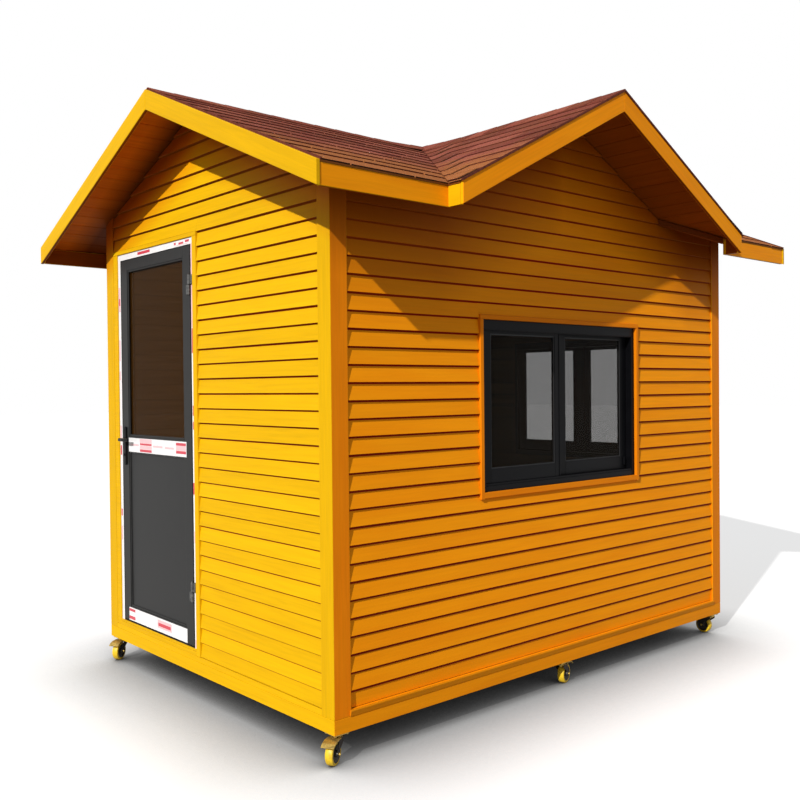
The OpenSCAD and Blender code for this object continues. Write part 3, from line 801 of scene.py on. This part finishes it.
# Barge boards: two sloping boards at each gable, meeting in a plumb joint at the ridge. Their lower edges carry
# painted shade, and their low ends the sunlit copy of the stain.
for gable, out in SIDES.items():
    end, half, slope, paint = (
        (MAIN_END, MAIN_BARGE_HALF, MAIN_SLOPE, sunlit_stain) if out.y
        else (CROSS_END, CROSS_HALF, CROSS_SLOPE, grazing_stain))
    fall = slope * half
    tilt = Matrix.Rotation(-math.atan(slope), 4, "Z")
    outline = [(0.0004, 0.0), (half, -fall), (half, -fall - BARGE_H), (0.0004, -BARGE_H)]
    local = [tuple((tilt.inverted() @ Vector((x, y, 0))).xy) for x, y in outline]
    boards = Builder(facing(out, end))
    for s in (1, -1):
        at = Matrix.Diagonal((s, 1, 1, 1)) @ moved(0, BARGE_RIDGE, 0) @ tilt
        boards.put(plate(local, -BARGE_T, 0, [0, 1, 2, 0]), at, 0.0022, 2)
    boards.finish("barges_" + gable, [paint, sunlit_stain, soffit_deep_painted_shade], "yellow_timber",
                  "barge_boards_" + gable)

fascias = Builder()
eave_top = UNDER - MAIN_SLOPE * MAIN_HALF
eave_board = rect(FASCIA_LOW, -BARGE_T, eave_top, 0)
short_board = rect(FASCIA_LOW, -BARGE_T, eave_top - 0.001, 0)
# The fascias' inner and lower faces carry painted shade; the eave boards take the grazing-lit stain, the short
# boards the sunlit one.
for sx, sy in QUADRANTS:
    place = Matrix.Diagonal((sx, -sy, 1, 1))
    eave = bar(eave_board, -MAIN_RUN + 0.0005, -CROSS_HALF + BARGE_T, [2, 1, 1, 2])
    fascias.put(eave, place @ facing(RIGHT, MAIN_HALF), 0.0018, 2)
    short = bar(short_board, MAIN_HALF + 0.0004, CROSS_RUN - 0.0002, [2, 0, 0, 2])
    fascias.put(short, place @ facing(FRONT, CROSS_HALF), 0.0006)
fascias.finish("eave_boards", [sunlit_stain, grazing_stain, soffit_deep_painted_shade], "yellow_timber", "eave_fascias")

# Valley rafters show below the soffit, from the wall out to the corner of the fascias
rafters = Builder()
plan = math.hypot(MAIN_HALF, CROSS_HALF)
fall = MAIN_SLOPE * MAIN_HALF / plan
s0, s1 = plan * (WALL_X - 0.03) / MAIN_HALF, plan * (MAIN_HALF - BARGE_T - 0.002) / MAIN_HALF
outline = [(s, UNDER - fall * s - drop) for s, drop in rect(s0, 0.001, s1, 0.032)]
for sx, sy in QUADRANTS:
    heading = Matrix.Rotation(math.atan2(sy * CROSS_HALF, sx * MAIN_HALF), 4, "Z")
    rafters.put(plate(outline, -0.018, 0.018), heading @ QUARTER_X, 0.0015)
rafters.finish("valley_rafters", [soffit_painted_shade], "yellow_timber")

# ---------------------------------------------------------------- door

FRAME_W, STOP_W, SEAL_W = 0.030, 0.012, 0.006
LEAF_T, BEAD, FILM_T = 0.038, 0.010, 0.0006
FOOT_RAIL, MID_RAIL = 0.084, 0.090
lx, hx, head = door_low.x, door_high.x, door_high.z
in0, in1, head_in = lx + FRAME_W, hx - FRAME_W, head - FRAME_W
sill_low, depth = door_low.z, door_high.y - door_low.y
door_face = facing(FRONT, -DOOR_FACE)

casing = Builder(front_at)
casing_low, casing_left = SKIRT_TOP + 0.001, -END_REACH + 0.0006
casing.box((casing_left, casing_low, -BOARD_T), (lx, head, -0.001), 0.0015)
casing.put(bar(rect(head + 0.0005, -BOARD_T, door_trim_high.z, 0.0005), casing_left, door_trim_high.x),
           bevel=0.0015)
casing.put(bar(rect(-door_trim_high.x, -BOARD_T, -hx, 0.0005), casing_low, head), QUARTER_Z, 0.0015)
for low, high in ((casing_low, 0.2435), (0.2448, THRESHOLD)):
    casing.put(bar(rect(low, -0.0076, high, 0.0005), lx, hx), bevel=0.001)
casing.finish("door_casing_boards", [sunlit_stain], "yellow_timber", "door_casing")

jamb = Builder(door_face)
stop_out = -(leaf_high.y - DOOR_FACE) - 0.007
for x0, z0, x1, z1, stop in (
        (lx, sill_low, in0, head, (in0, THRESHOLD, in0 + STOP_W, head_in)),
        (in1, sill_low, hx, head, (in1 - STOP_W, THRESHOLD, in1, head_in)),
        (in0, head_in, in1, head, (in0, head_in - STOP_W, in1, head_in)),
        (in0, sill_low, in1, THRESHOLD, (in0, THRESHOLD, in1, THRESHOLD + STOP_W))):
    jamb.box((x0, z0, -depth), (x1, z1, 0), 0.0012)
    jamb.box((*stop[:2], -depth + 0.002), (*stop[2:], stop_out), 0.0008)
for x0, z0, x1 in (
        (in0, THRESHOLD, in0 + SEAL_W), (in1 - SEAL_W, THRESHOLD, in1), (in0, head_in - SEAL_W, in1)):
    jamb.box((x0, z0, -0.030), (x1, head_in, -0.024), 0.001, mat=1)
jamb.finish("door_frame_profiles", [door_metal, seal], "dark_aluminium", "door_frame")


def films(name, body, rows):
    """Flat films on the door's face: x0, x1, z0, z1, layer, material (0 white, 1 red, 2 pale red)."""
    tape = Builder(door_face)
    for x0, x1, low, high, layer, mat in rows:
        tape.box((x0, low, 0), (x1, high, FILM_T * (0.6 + 0.4 * layer)), mat=mat)
    tape.finish(name, [white_film, red_film, pale_red_film], "dark_aluminium", body=body)


films("frame_film", "cabin", [
    (lx + 0.001, in0 + 0.001, sill_low + 0.03, head - 0.002, 1, 0),
    (lx + 0.001, hx - 0.001, head_in - 0.004, head - 0.001, 2, 0),
    (hx - 0.025, hx - 0.001, 1.911, head - 0.002, 1, 2), (hx - 0.025, hx - 0.001, sill_low + 0.03, 1.911, 1, 0),
    *((lx + x0, lx + x1, *rest) for x0, x1, *rest in (
        (0.005, 0.026, 2.045, 2.185, 3, 2), (0.008, 0.024, 2.08, 2.12, 4, 1), (0.006, 0.020, 1.65, 1.70, 3, 2),
        (0.006, 0.020, 1.76, 1.88, 3, 2), (0.006, 0.022, 1.215, 1.27, 3, 1), (0.006, 0.022, 1.31, 1.385, 3, 2),
        (0.006, 0.020, 0.72, 0.80, 3, 2), (0.006, 0.020, 0.86, 0.90, 3, 1))),
    *((hx - x0, hx - x1, *rest) for x0, x1, *rest in (
        (0.022, 0.004, 1.778, 1.905, 3, 1), (0.020, 0.006, 1.385, 1.425, 3, 1),
        (0.020, 0.006, 1.455, 1.508, 3, 1), (0.024, 0.003, 1.050, 1.110, 3, 1),
        (0.020, 0.008, 0.80, 0.86, 3, 2), (0.022, 0.004, 0.262, 0.300, 3, 2))),
    *((x0, x1, head - z0, head - z1, 4, mat) for x0, x1, z0, z1, mat in (
        (-0.70, -0.55, 0.024, 0.009, 1), (-0.27, -0.25, 0.022, 0.010, 1), (-0.22, -0.17, 0.024, 0.014, 1),
        (-0.15, -0.11, 0.020, 0.008, 1), (-0.26, -0.12, 0.029, 0.026, 2))),
])

leaf = Builder(door_face)
stile = glass_low.x - leaf_low.x
leaf0, leaf1 = leaf_low.x, lx + hx - leaf_low.x
pane0, pane1 = leaf0 + stile, leaf1 - stile
leaf_foot, leaf_top = leaf_low.z, leaf_high.z
panel_low, panel_high = leaf_foot + FOOT_RAIL, glass_low.z - MID_RAIL
pane_low, pane_high = glass_low.z, glass_high.z
for x0, x1 in ((leaf0, pane0), (pane1, leaf1)):
    leaf.box((x0, leaf_foot, -LEAF_T), (x1, leaf_top, 0), 0.0014, 2)
for low, high in ((leaf_foot, panel_low), (panel_high, pane_low), (pane_high, leaf_top)):
    leaf.box((pane0, low, -LEAF_T), (pane1, high, 0), 0.0014, 2)
leaf.box((pane0, panel_low, -LEAF_T + 0.009), (pane1, panel_high, -0.009))
for low, high in ((pane_low, pane_high), (panel_low, panel_high)):
    for back, front in ((-0.011, -0.003), (-LEAF_T + 0.003, -LEAF_T + 0.011)):
        for p, q in border(pane0, low, pane1, high, BEAD):
            leaf.box((*p, back), (*q, front), 0.002)
leaf.finish("door_leaf_profiles", [door_metal, seal], "dark_aluminium", "door_leaf", "door")

films("leaf_film", "door", [
    (-0.841, -0.163, 1.238, 1.318, 1, 0), (-0.862, -0.177, 0.266, 0.340, 1, 0),
    (-0.701, -0.555, 1.292, 1.316, 2, 2), (-0.701, -0.555, 1.259, 1.278, 2, 2),
    (-0.699, -0.557, 1.280, 1.291, 3, 1), (-0.699, -0.557, 1.243, 1.257, 3, 1),
    (-0.275, -0.168, 1.270, 1.296, 2, 2), (-0.275, -0.168, 1.296, 1.310, 3, 1),
    (-0.275, -0.168, 1.253, 1.268, 3, 1), (-0.820, -0.715, 1.274, 1.284, 2, 2),
    (-0.540, -0.430, 1.274, 1.284, 2, 2), (-0.400, -0.300, 1.272, 1.282, 2, 2),
    (-0.860, -0.786, 0.318, 0.333, 3, 1), (-0.860, -0.786, 0.273, 0.291, 3, 1),
    (-0.510, -0.350, 0.286, 0.330, 2, 2), (-0.502, -0.360, 0.296, 0.314, 3, 1),
])

# Hinges: two knuckles on a pin. The lower knuckle and its leaf plate move with the door
joint = {j["name"]: j for j in frame["joints"]}
pin_x, pin_y = joint["door_hinge"]["pos_m"][:2]
plate_y = -pin_y + DOOR_FACE - 0.0002
KNUCKLE_R = 0.0072
fixed, moving = Builder(), Builder()


def knuckle(low, high):
    radius, inner, edge = KNUCKLE_R, KNUCKLE_R - 0.0012, 0.0012
    return [(0, low), (inner, low), (radius, low + edge), (radius, high - edge), (inner, high), (0, high)]


for z in (THRESHOLD + 0.290, door_high.z - 0.243):
    pin = moved(pin_x, pin_y, z)
    fixed.round(knuckle(0.001, 0.050), 24, pin)
    fixed.round([(0, 0.050), (0.005, 0.050), (0.0055, 0.053), (0.003, 0.056), (0, 0.057)], 20, pin)
    fixed.round([(0, -0.053), (0.0028, -0.053), (0.0028, -0.001), (0, -0.001)], 16, pin)
    fixed.box((0.0035, 0.0, 0.001), (0.0300, plate_y, 0.050), 0.0012, at=pin)
    moving.round(knuckle(-0.050, -0.001), 24, pin)
    moving.box((-0.0300, 0.0, -0.050), (-0.0030, plate_y, -0.001), 0.0012, at=pin)
    for k in (-1, 1):
        for builder, s in ((fixed, 1), (moving, -1)):
            builder.round([(0, 0.0), (0.0042, 0.0), (0.0036, 0.0018), (0, 0.0022)], 16,
                          pin @ moved(s * 0.021, 0.0, s * 0.0255 + k * 0.013) @ QUARTER_X)
fixed.finish("hinge_fixed", [hinge_dark], "hinge_steel", "door_hinges")
moving.finish("hinge_moving", [hinge_dark], "hinge_steel", body="door")

handle_low, handle_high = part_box("door_handle_plates")
handle_x, handle_z = (handle_low.x + handle_high.x) / 2, (handle_low.z + handle_high.z) / 2
lever_z = joint["lever_turn"]["pos_m"][2]
inner_face = moved(0, DOOR_FACE + LEAF_T, 0) @ MIRROR_Y @ facing(FRONT, 0)
plates, lever = Builder(), Builder()
for place in (door_face, inner_face):
    middle = place @ moved(handle_x, handle_z, 0)
    plates.put(plate(rounded(0.038, 0.22, 0.012), 0, 0.009), middle, 0.0018, 2)
    for dz in (-0.095, 0.095):
        plates.round([(0, 0.009), (0.0045, 0.009), (0.0038, 0.0105), (0, 0.0108)], 16, middle @ moved(0, dz, 0))
    plates.round([(0, 0.009), (0.0085, 0.009), (0.0085, 0.0125), (0.0070, 0.0135), (0, 0.0135)], 24,
                 middle @ moved(0, -0.052, 0))
    hub = place @ moved(handle_x, lever_z, 0)
    lever.round([(0, 0.0094), (0.0105, 0.0094), (0.0105, 0.016), (0.0085, 0.019), (0.0085, 0.040), (0, 0.042)],
                28, hub)
    grip = [
        (-0.0095, 0.034), (-0.0095, 0.041), (-0.006, 0.0452), (0.006, 0.0452), (0.0095, 0.041), (0.0095, 0.034)]
    lever.put(bar(grip, -0.0098, 0.114), hub, 0.0022, 2)
plates.finish("handle_plates", [black_metal], "black_handle", "door_handle_plates", "door")
lever.finish("lever_handle", [black_metal], "black_handle", "door_lever", "lever")

# ---------------------------------------------------------------- windows

WIN_HEAD, WIN_SILL, WIN_JAMB = 0.049, 0.038, 0.026
SASH_W, SASH_TOP, SASH_BOTTOM, SASH_T = 0.054, 0.018, 0.071, 0.022
OUTER_MEET, INNER_MEET = 0.044, 0.090
OUTER_END, INNER_START = -0.020, -0.035
WIN_DEPTH = win_high.x - win_low.x
PANE_T = 0.006


def window(place, side, width, paint):
    """Casing, frame and two sashes. Made on the right wall about y = 0, then moved by place."""
    low, high = win_low.z, win_high.z
    y0, y1 = -width / 2, width / 2
    trim = Builder(place @ right_at)
    trim_w, proud = trim_high.z - high, 0.004
    for z0, z1, reach in ((high + 0.0005, high + trim_w, trim_w), (trim_low.z, low - 0.0005, 0)):
        trim.put(bar(rect(z0, -BOARD_T, z1, proud), y0 - reach, y1 + reach), None, 0.0016, 2)
    for a, b, drop in ((y0 - trim_w, y0, 0.004), (y1, y1 + trim_w, 0.002)):
        upright = bar(rect(-b, -BOARD_T, -a, proud + 0.0004), trim_low.z - drop, high)
        trim.put(upright, QUARTER_Z, 0.0016, 2)
    trim.finish("window_trim_" + side, [paint], "yellow_timber", "window_casing_" + side)

    face = win_high.x
    on_face = place @ facing(RIGHT, face)
    outer = Builder(on_face)
    j0, j1 = y0 + WIN_JAMB, y1 - WIN_JAMB
    sill_top, sash_high = low + WIN_SILL, high - WIN_HEAD
    outer.box((y0, sash_high, -WIN_DEPTH), (y1, high, 0), 0.0012)
    tracks = ((0.011, 0.0), (0.010, -0.003), (0.008, -0.003), (0.007, -0.001), (0.0, -0.003), (0.0, -0.012),
              (0.010, -0.012), (0.010, -0.036), (0.0, -0.036), (0.0, -0.038), (0.010, -0.038), (0.010, -0.061),
              (0.0, -0.061), (0.0, -WIN_DEPTH))
    sill = [(low, 0.0), *((sill_top - down, out) for down, out in tracks), (low, -WIN_DEPTH)]
    outer.put(bar(sill, j0, j1))
    for a, b in ((y0, j0), (j1, y1)):
        outer.box((a, low, -WIN_DEPTH), (b, sash_high, 0), 0.0012)
    outer.box((j0, sash_high - 0.004, -0.008), (j1, sash_high, -0.002), 0.001)
    outer.finish("window_profiles_" + side, [window_metal], "black_aluminium", "window_frame_" + side)

    g_low, g_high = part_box("window_glass_right")
    outer_face = g_high.x + (SASH_T - PANE_T) / 2 - face
    inner_face = g_low.x + PANE_T + (SASH_T - PANE_T) / 2 - face
    leaves = Builder(on_face)
    for start, end, first, last, front in (
            (-j1, OUTER_END, SASH_W, OUTER_MEET, outer_face),
            (INNER_START, j1, INNER_MEET, SASH_W, inner_face)):
        back = front - SASH_T
        i0, i1 = start + first, end - last
        pane_low, pane_high = sill_top + SASH_BOTTOM, sash_high - SASH_TOP
        for a, b in ((start, i0), (i1, end)):
            leaves.box((a, sill_top, back), (b, sash_high, front), 0.0016, 2)
        for a, b in ((sill_top, pane_low), (pane_high, sash_high)):
            leaves.box((i0, a, back), (i1, b, front), 0.0016, 2)
        for p, q in border(i0, pane_low, i1, pane_high, 0.005):
            leaves.box((*p, front - 0.008), (*q, front - 0.003), 0.001, mat=1)
            leaves.box((*p, back + 0.003), (*q, back + 0.008), 0.001, mat=1)
    leaves.box((OUTER_END - 0.010, sill_top + 0.002, outer_face),
               (OUTER_END - 0.002, sash_high - 0.002, outer_face + 0.003), 0.001)
    latch = moved(j1 - 0.028, low + 0.081, inner_face)
    leaves.put(plate(rounded(0.016, 0.046, 0.006), 0, 0.009), latch, 0.0015)
    leaves.finish("window_leaves_" + side, [window_metal, seal], "black_aluminium", "window_sashes_" + side)


window(moved(0, (win_low.y + win_high.y) / 2, 0), "right", win_high.y - win_low.y, grazing_corner)
rear_low, rear_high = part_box("window_frame_rear")
to_rear = moved((rear_low.x + rear_high.x) / 2, HALF_L - HALF_W, 0) @ QUARTER_Z
window(to_rear, "rear", rear_high.x - rear_low.x, sunlit_stain)

# ---------------------------------------------------------------- casters

CROWN = 0.112
WHEEL_R = joint["wheel_front_right_spin"]["pos_m"][2]
TREAD_HALF, FORK_HALF, FORK_T = 0.018, 0.0235, 0.0035
PLATE_LOW = SKIRT_LOW - 0.006
HEX_R = 0.0068
hex_head = [(HEX_R * math.cos(math.radians(a)), HEX_R * math.sin(math.radians(a))) for a in range(0, 360, 60)]


def both_sides(half):
    """A profile's points below z = 0, then their mirror image above it."""
    return half + [(radius, -z) for radius, z in reversed(half)]


mounts = Builder()
for name in [j for j in joint if j.startswith("swivel_")]:
    corner = name[7:-5]
    sx, sy = joint[name]["pos_m"][:2]
    ax, ay = joint["wheel_%s_spin" % corner]["pos_m"][:2]
    trail = math.hypot(ax - sx, ay - sy)
    level = moved(sx, sy, 0)
    at = level @ Matrix.Rotation(math.atan2(ay - sy, ax - sx), 4, "Z")
    crown = at @ moved(0, 0, CROWN)
    mounts.put(plate(rounded(0.084, 0.084, 0.010, 4), PLATE_LOW, SKIRT_LOW - 0.0002), level, 0.0010)
    for dx, dy in QUADRANTS:
        bolt = level @ moved(-0.031 * dx, -0.031 * dy, 0)
        mounts.put(plate(hex_head, SKIRT_LOW - 0.0115, PLATE_LOW), bolt, 0.0008)
    mounts.round([(0, CROWN + 0.0004), (0.024, CROWN + 0.0004), (0.027, CROWN + 0.004), (0.027, PLATE_LOW),
                  (0, PLATE_LOW)], 36, level)

    fork = Builder()
    outside = FORK_HALF + FORK_T
    fork.round([(0, -0.010), (0.018, -0.010), (0.026, -0.006), (0.0275, -0.003), (0.026, 0), (0, 0)], 36, crown)
    fork.box((-0.020, -outside, -0.006), (0.024, outside, -0.0006), 0.0018, 2, crown)
    fork.put(lathe([(0, -0.019), (0.008, -0.019), (0.009, -0.017), (0.009, -0.010), (0, -0.010)], 6), crown)
    eye = [math.radians(35 - 250 * k / 8) for k in range(9)]
    leg = [(-0.020, CROWN - 0.0006), (0.024, CROWN - 0.0006), (trail + 0.013, WHEEL_R + 0.010),
           *((trail + 0.0135 * math.cos(a), WHEEL_R + 0.0135 * math.sin(a)) for a in eye),
           (trail - 0.020, WHEEL_R + 0.016), (-0.020, CROWN - 0.016)]
    # The legs take the dark metal, as painted shade.
    for y in (-FORK_HALF, outside):
        fork.put(plate(leg, 0, FORK_T), at @ moved(0, y, 0) @ QUARTER_X, 0.0008, mat=1)
    axle = at @ moved(trail, 0, WHEEL_R) @ QUARTER_X
    fork.round([(0, -FORK_HALF - 0.012), (0.0035, -FORK_HALF - 0.012), (0.0045, -FORK_HALF - 0.010),
                (0.0045, FORK_HALF + 0.010), (0, FORK_HALF + 0.010)], 20, axle)
    for y in (-FORK_HALF - 0.0095, FORK_HALF + 0.0036):
        fork.put(plate(hex_head, y, y + 0.0058), axle, 0.0008)
    pedal = [
        (0.020, -0.0045), (0.062, -0.0045), (0.085, -0.012), (0.100, -0.022),
        (0.104, -0.019), (0.087, -0.006), (0.064, 0), (0.020, 0)]
    cam = [(0.030, -0.004), (0.060, -0.004), (0.056, -0.016), (0.034, -0.014)]
    for outline, low, high, bevel in ((pedal, -0.030, 0.030, 0.0012), (cam, -0.023, -0.0195, 0.0008)):
        fork.put(plate(outline, low, high), crown @ QUARTER_X, bevel)
    fork.finish("fork_" + corner, [caster_metal, fork_metal_painted_shade], "caster_steel",
                "caster_fork_" + corner, "swivel_" + corner)

    wheel = Builder()
    r, w = WHEEL_R, TREAD_HALF
    tyre = [(r - 0.011, -w + 0.0005), (r - 0.006, -w), (r - 0.002, -w + 0.002), (r, -w + 0.006)]
    disc = [
        (0.0055, -w - 0.004), (0.013, -w - 0.004), (0.0145, -w - 0.002), (0.0145, -w + 0.006),
        (0.030, -w + 0.007), (r - 0.014, -w + 0.004), (r - 0.011, -w + 0.0005)]
    for mat, half in enumerate((tyre, disc)):
        wheel.round(both_sides(half), 48, axle, mat)
    for s in (-1, 1):
        wheel.round(rect(0.0055, s * (w + 0.0042), 0.0115, s * (w + 0.0050)), 32, axle, 2)
    wheel.finish("wheel_" + corner, [tread, core, hinge_metal], "caster_tread",
                 "caster_wheel_" + corner, "wheel_" + corner)
mounts.finish("caster_mounts", [caster_metal], "caster_steel", "caster_plates")

# ---------------------------------------------------------------- stage, light and camera

SUN_LEVEL, SKY_LEVEL = 3.75, 0.36
GROUND_BOUNCE, GROUND_HALF = 0.33, 60.0


def show_behind(n, light, seen, output):
    """Lets light act on the object, and shows seen to the camera, in gloss and through glass."""
    path = n.add("ShaderNodeLightPath").outputs
    shown = path["Is Camera Ray"]
    for name in ("Is Glossy Ray", "Is Transmission Ray"):
        shown = n.math("MAXIMUM", shown, path[name])
    blend = n.add("ShaderNodeMixShader")
    for socket, value in zip(blend.inputs, (shown, light.outputs[0], seen.outputs[0])):
        n.feed(socket, value)
    n.feed(n.tree.nodes[output].inputs["Surface"], blend.outputs[0])


world = bpy.data.worlds.new("world")
bpy.context.scene.world = world
n = Nodes("world", world)
sky = n.tree.nodes["Background"]
n.feed(sky.inputs["Color"], (0.97, 0.985, 1.0))
n.feed(sky.inputs["Strength"], SKY_LEVEL)
show_behind(n, sky, n.add("ShaderNodeBackground", Color=(1, 1, 1, 1), Strength=1.0), "World Output")

ground = bpy.data.meshes.new("ground")
g = GROUND_HALF
ground.from_pydata([(x, y, 0) for x, y in rect(-g, -g, g, g)], [], [(0, 1, 2, 3)])
n = Nodes("ground")
n.tree.nodes.remove(n.bsdf)
soft = n.add("ShaderNodeBsdfDiffuse", Color=(GROUND_BOUNCE, GROUND_BOUNCE * 0.96, GROUND_BOUNCE * 0.92, 1))
pale, glow, both = (n.add("ShaderNode" + kind) for kind in ("BsdfDiffuse", "Emission", "AddShader"))
# Ambient occlusion darkens the floor's glow and colour under and beside the cabin: painted contact shade.
painted_contact_shade = n.math("POWER", n.add("ShaderNodeAmbientOcclusion", Distance=0.7).outputs["AO"], 1.6)
n.feed(glow.inputs["Strength"], n.math("MULTIPLY", painted_contact_shade, 0.62))
n.feed(pale.inputs["Color"], n.math("MULTIPLY", painted_contact_shade, 0.5))
n.feed(both.inputs[0], pale.outputs[0])
n.feed(both.inputs[1], glow.outputs[0])
show_behind(n, soft, both, "Material Output")
ground.materials.append(n.mat)
floor = link_object("ground", ground)

lamp = bpy.data.lights.new("key", "SUN")
lamp.energy = SUN_LEVEL
lamp.angle = math.radians(0.8)
lamp.color = (1.0, 0.985, 0.95)
link_object("key", lamp).rotation_euler = Vector((0.289, -0.802, 0.523)).to_track_quat("Z", "Y").to_euler()

lens = bpy.data.cameras.new("camera")
lens.lens = 41.585
lens.sensor_width = 36.0
camera = link_object("camera", lens)
yaw, pitch, roll = (math.radians(a) for a in (-48.624, -0.745, -0.534))
forward = Vector((math.sin(yaw) * math.cos(pitch), math.cos(yaw) * math.cos(pitch), math.sin(pitch)))
right = Vector((math.cos(yaw), -math.sin(yaw), 0))
up = right.cross(forward)
rolled_right = right * math.cos(roll) + up * math.sin(roll)
rolled_up = up * math.cos(roll) - right * math.sin(roll)
aim = Matrix((rolled_right, rolled_up, -forward)).transposed().to_4x4()
aim.translation = Vector((4.175, -3.881, 1.5885))
camera.matrix_world = aim
bpy.context.scene.camera = camera
bpy.context.scene.view_settings.view_transform = "Standard"
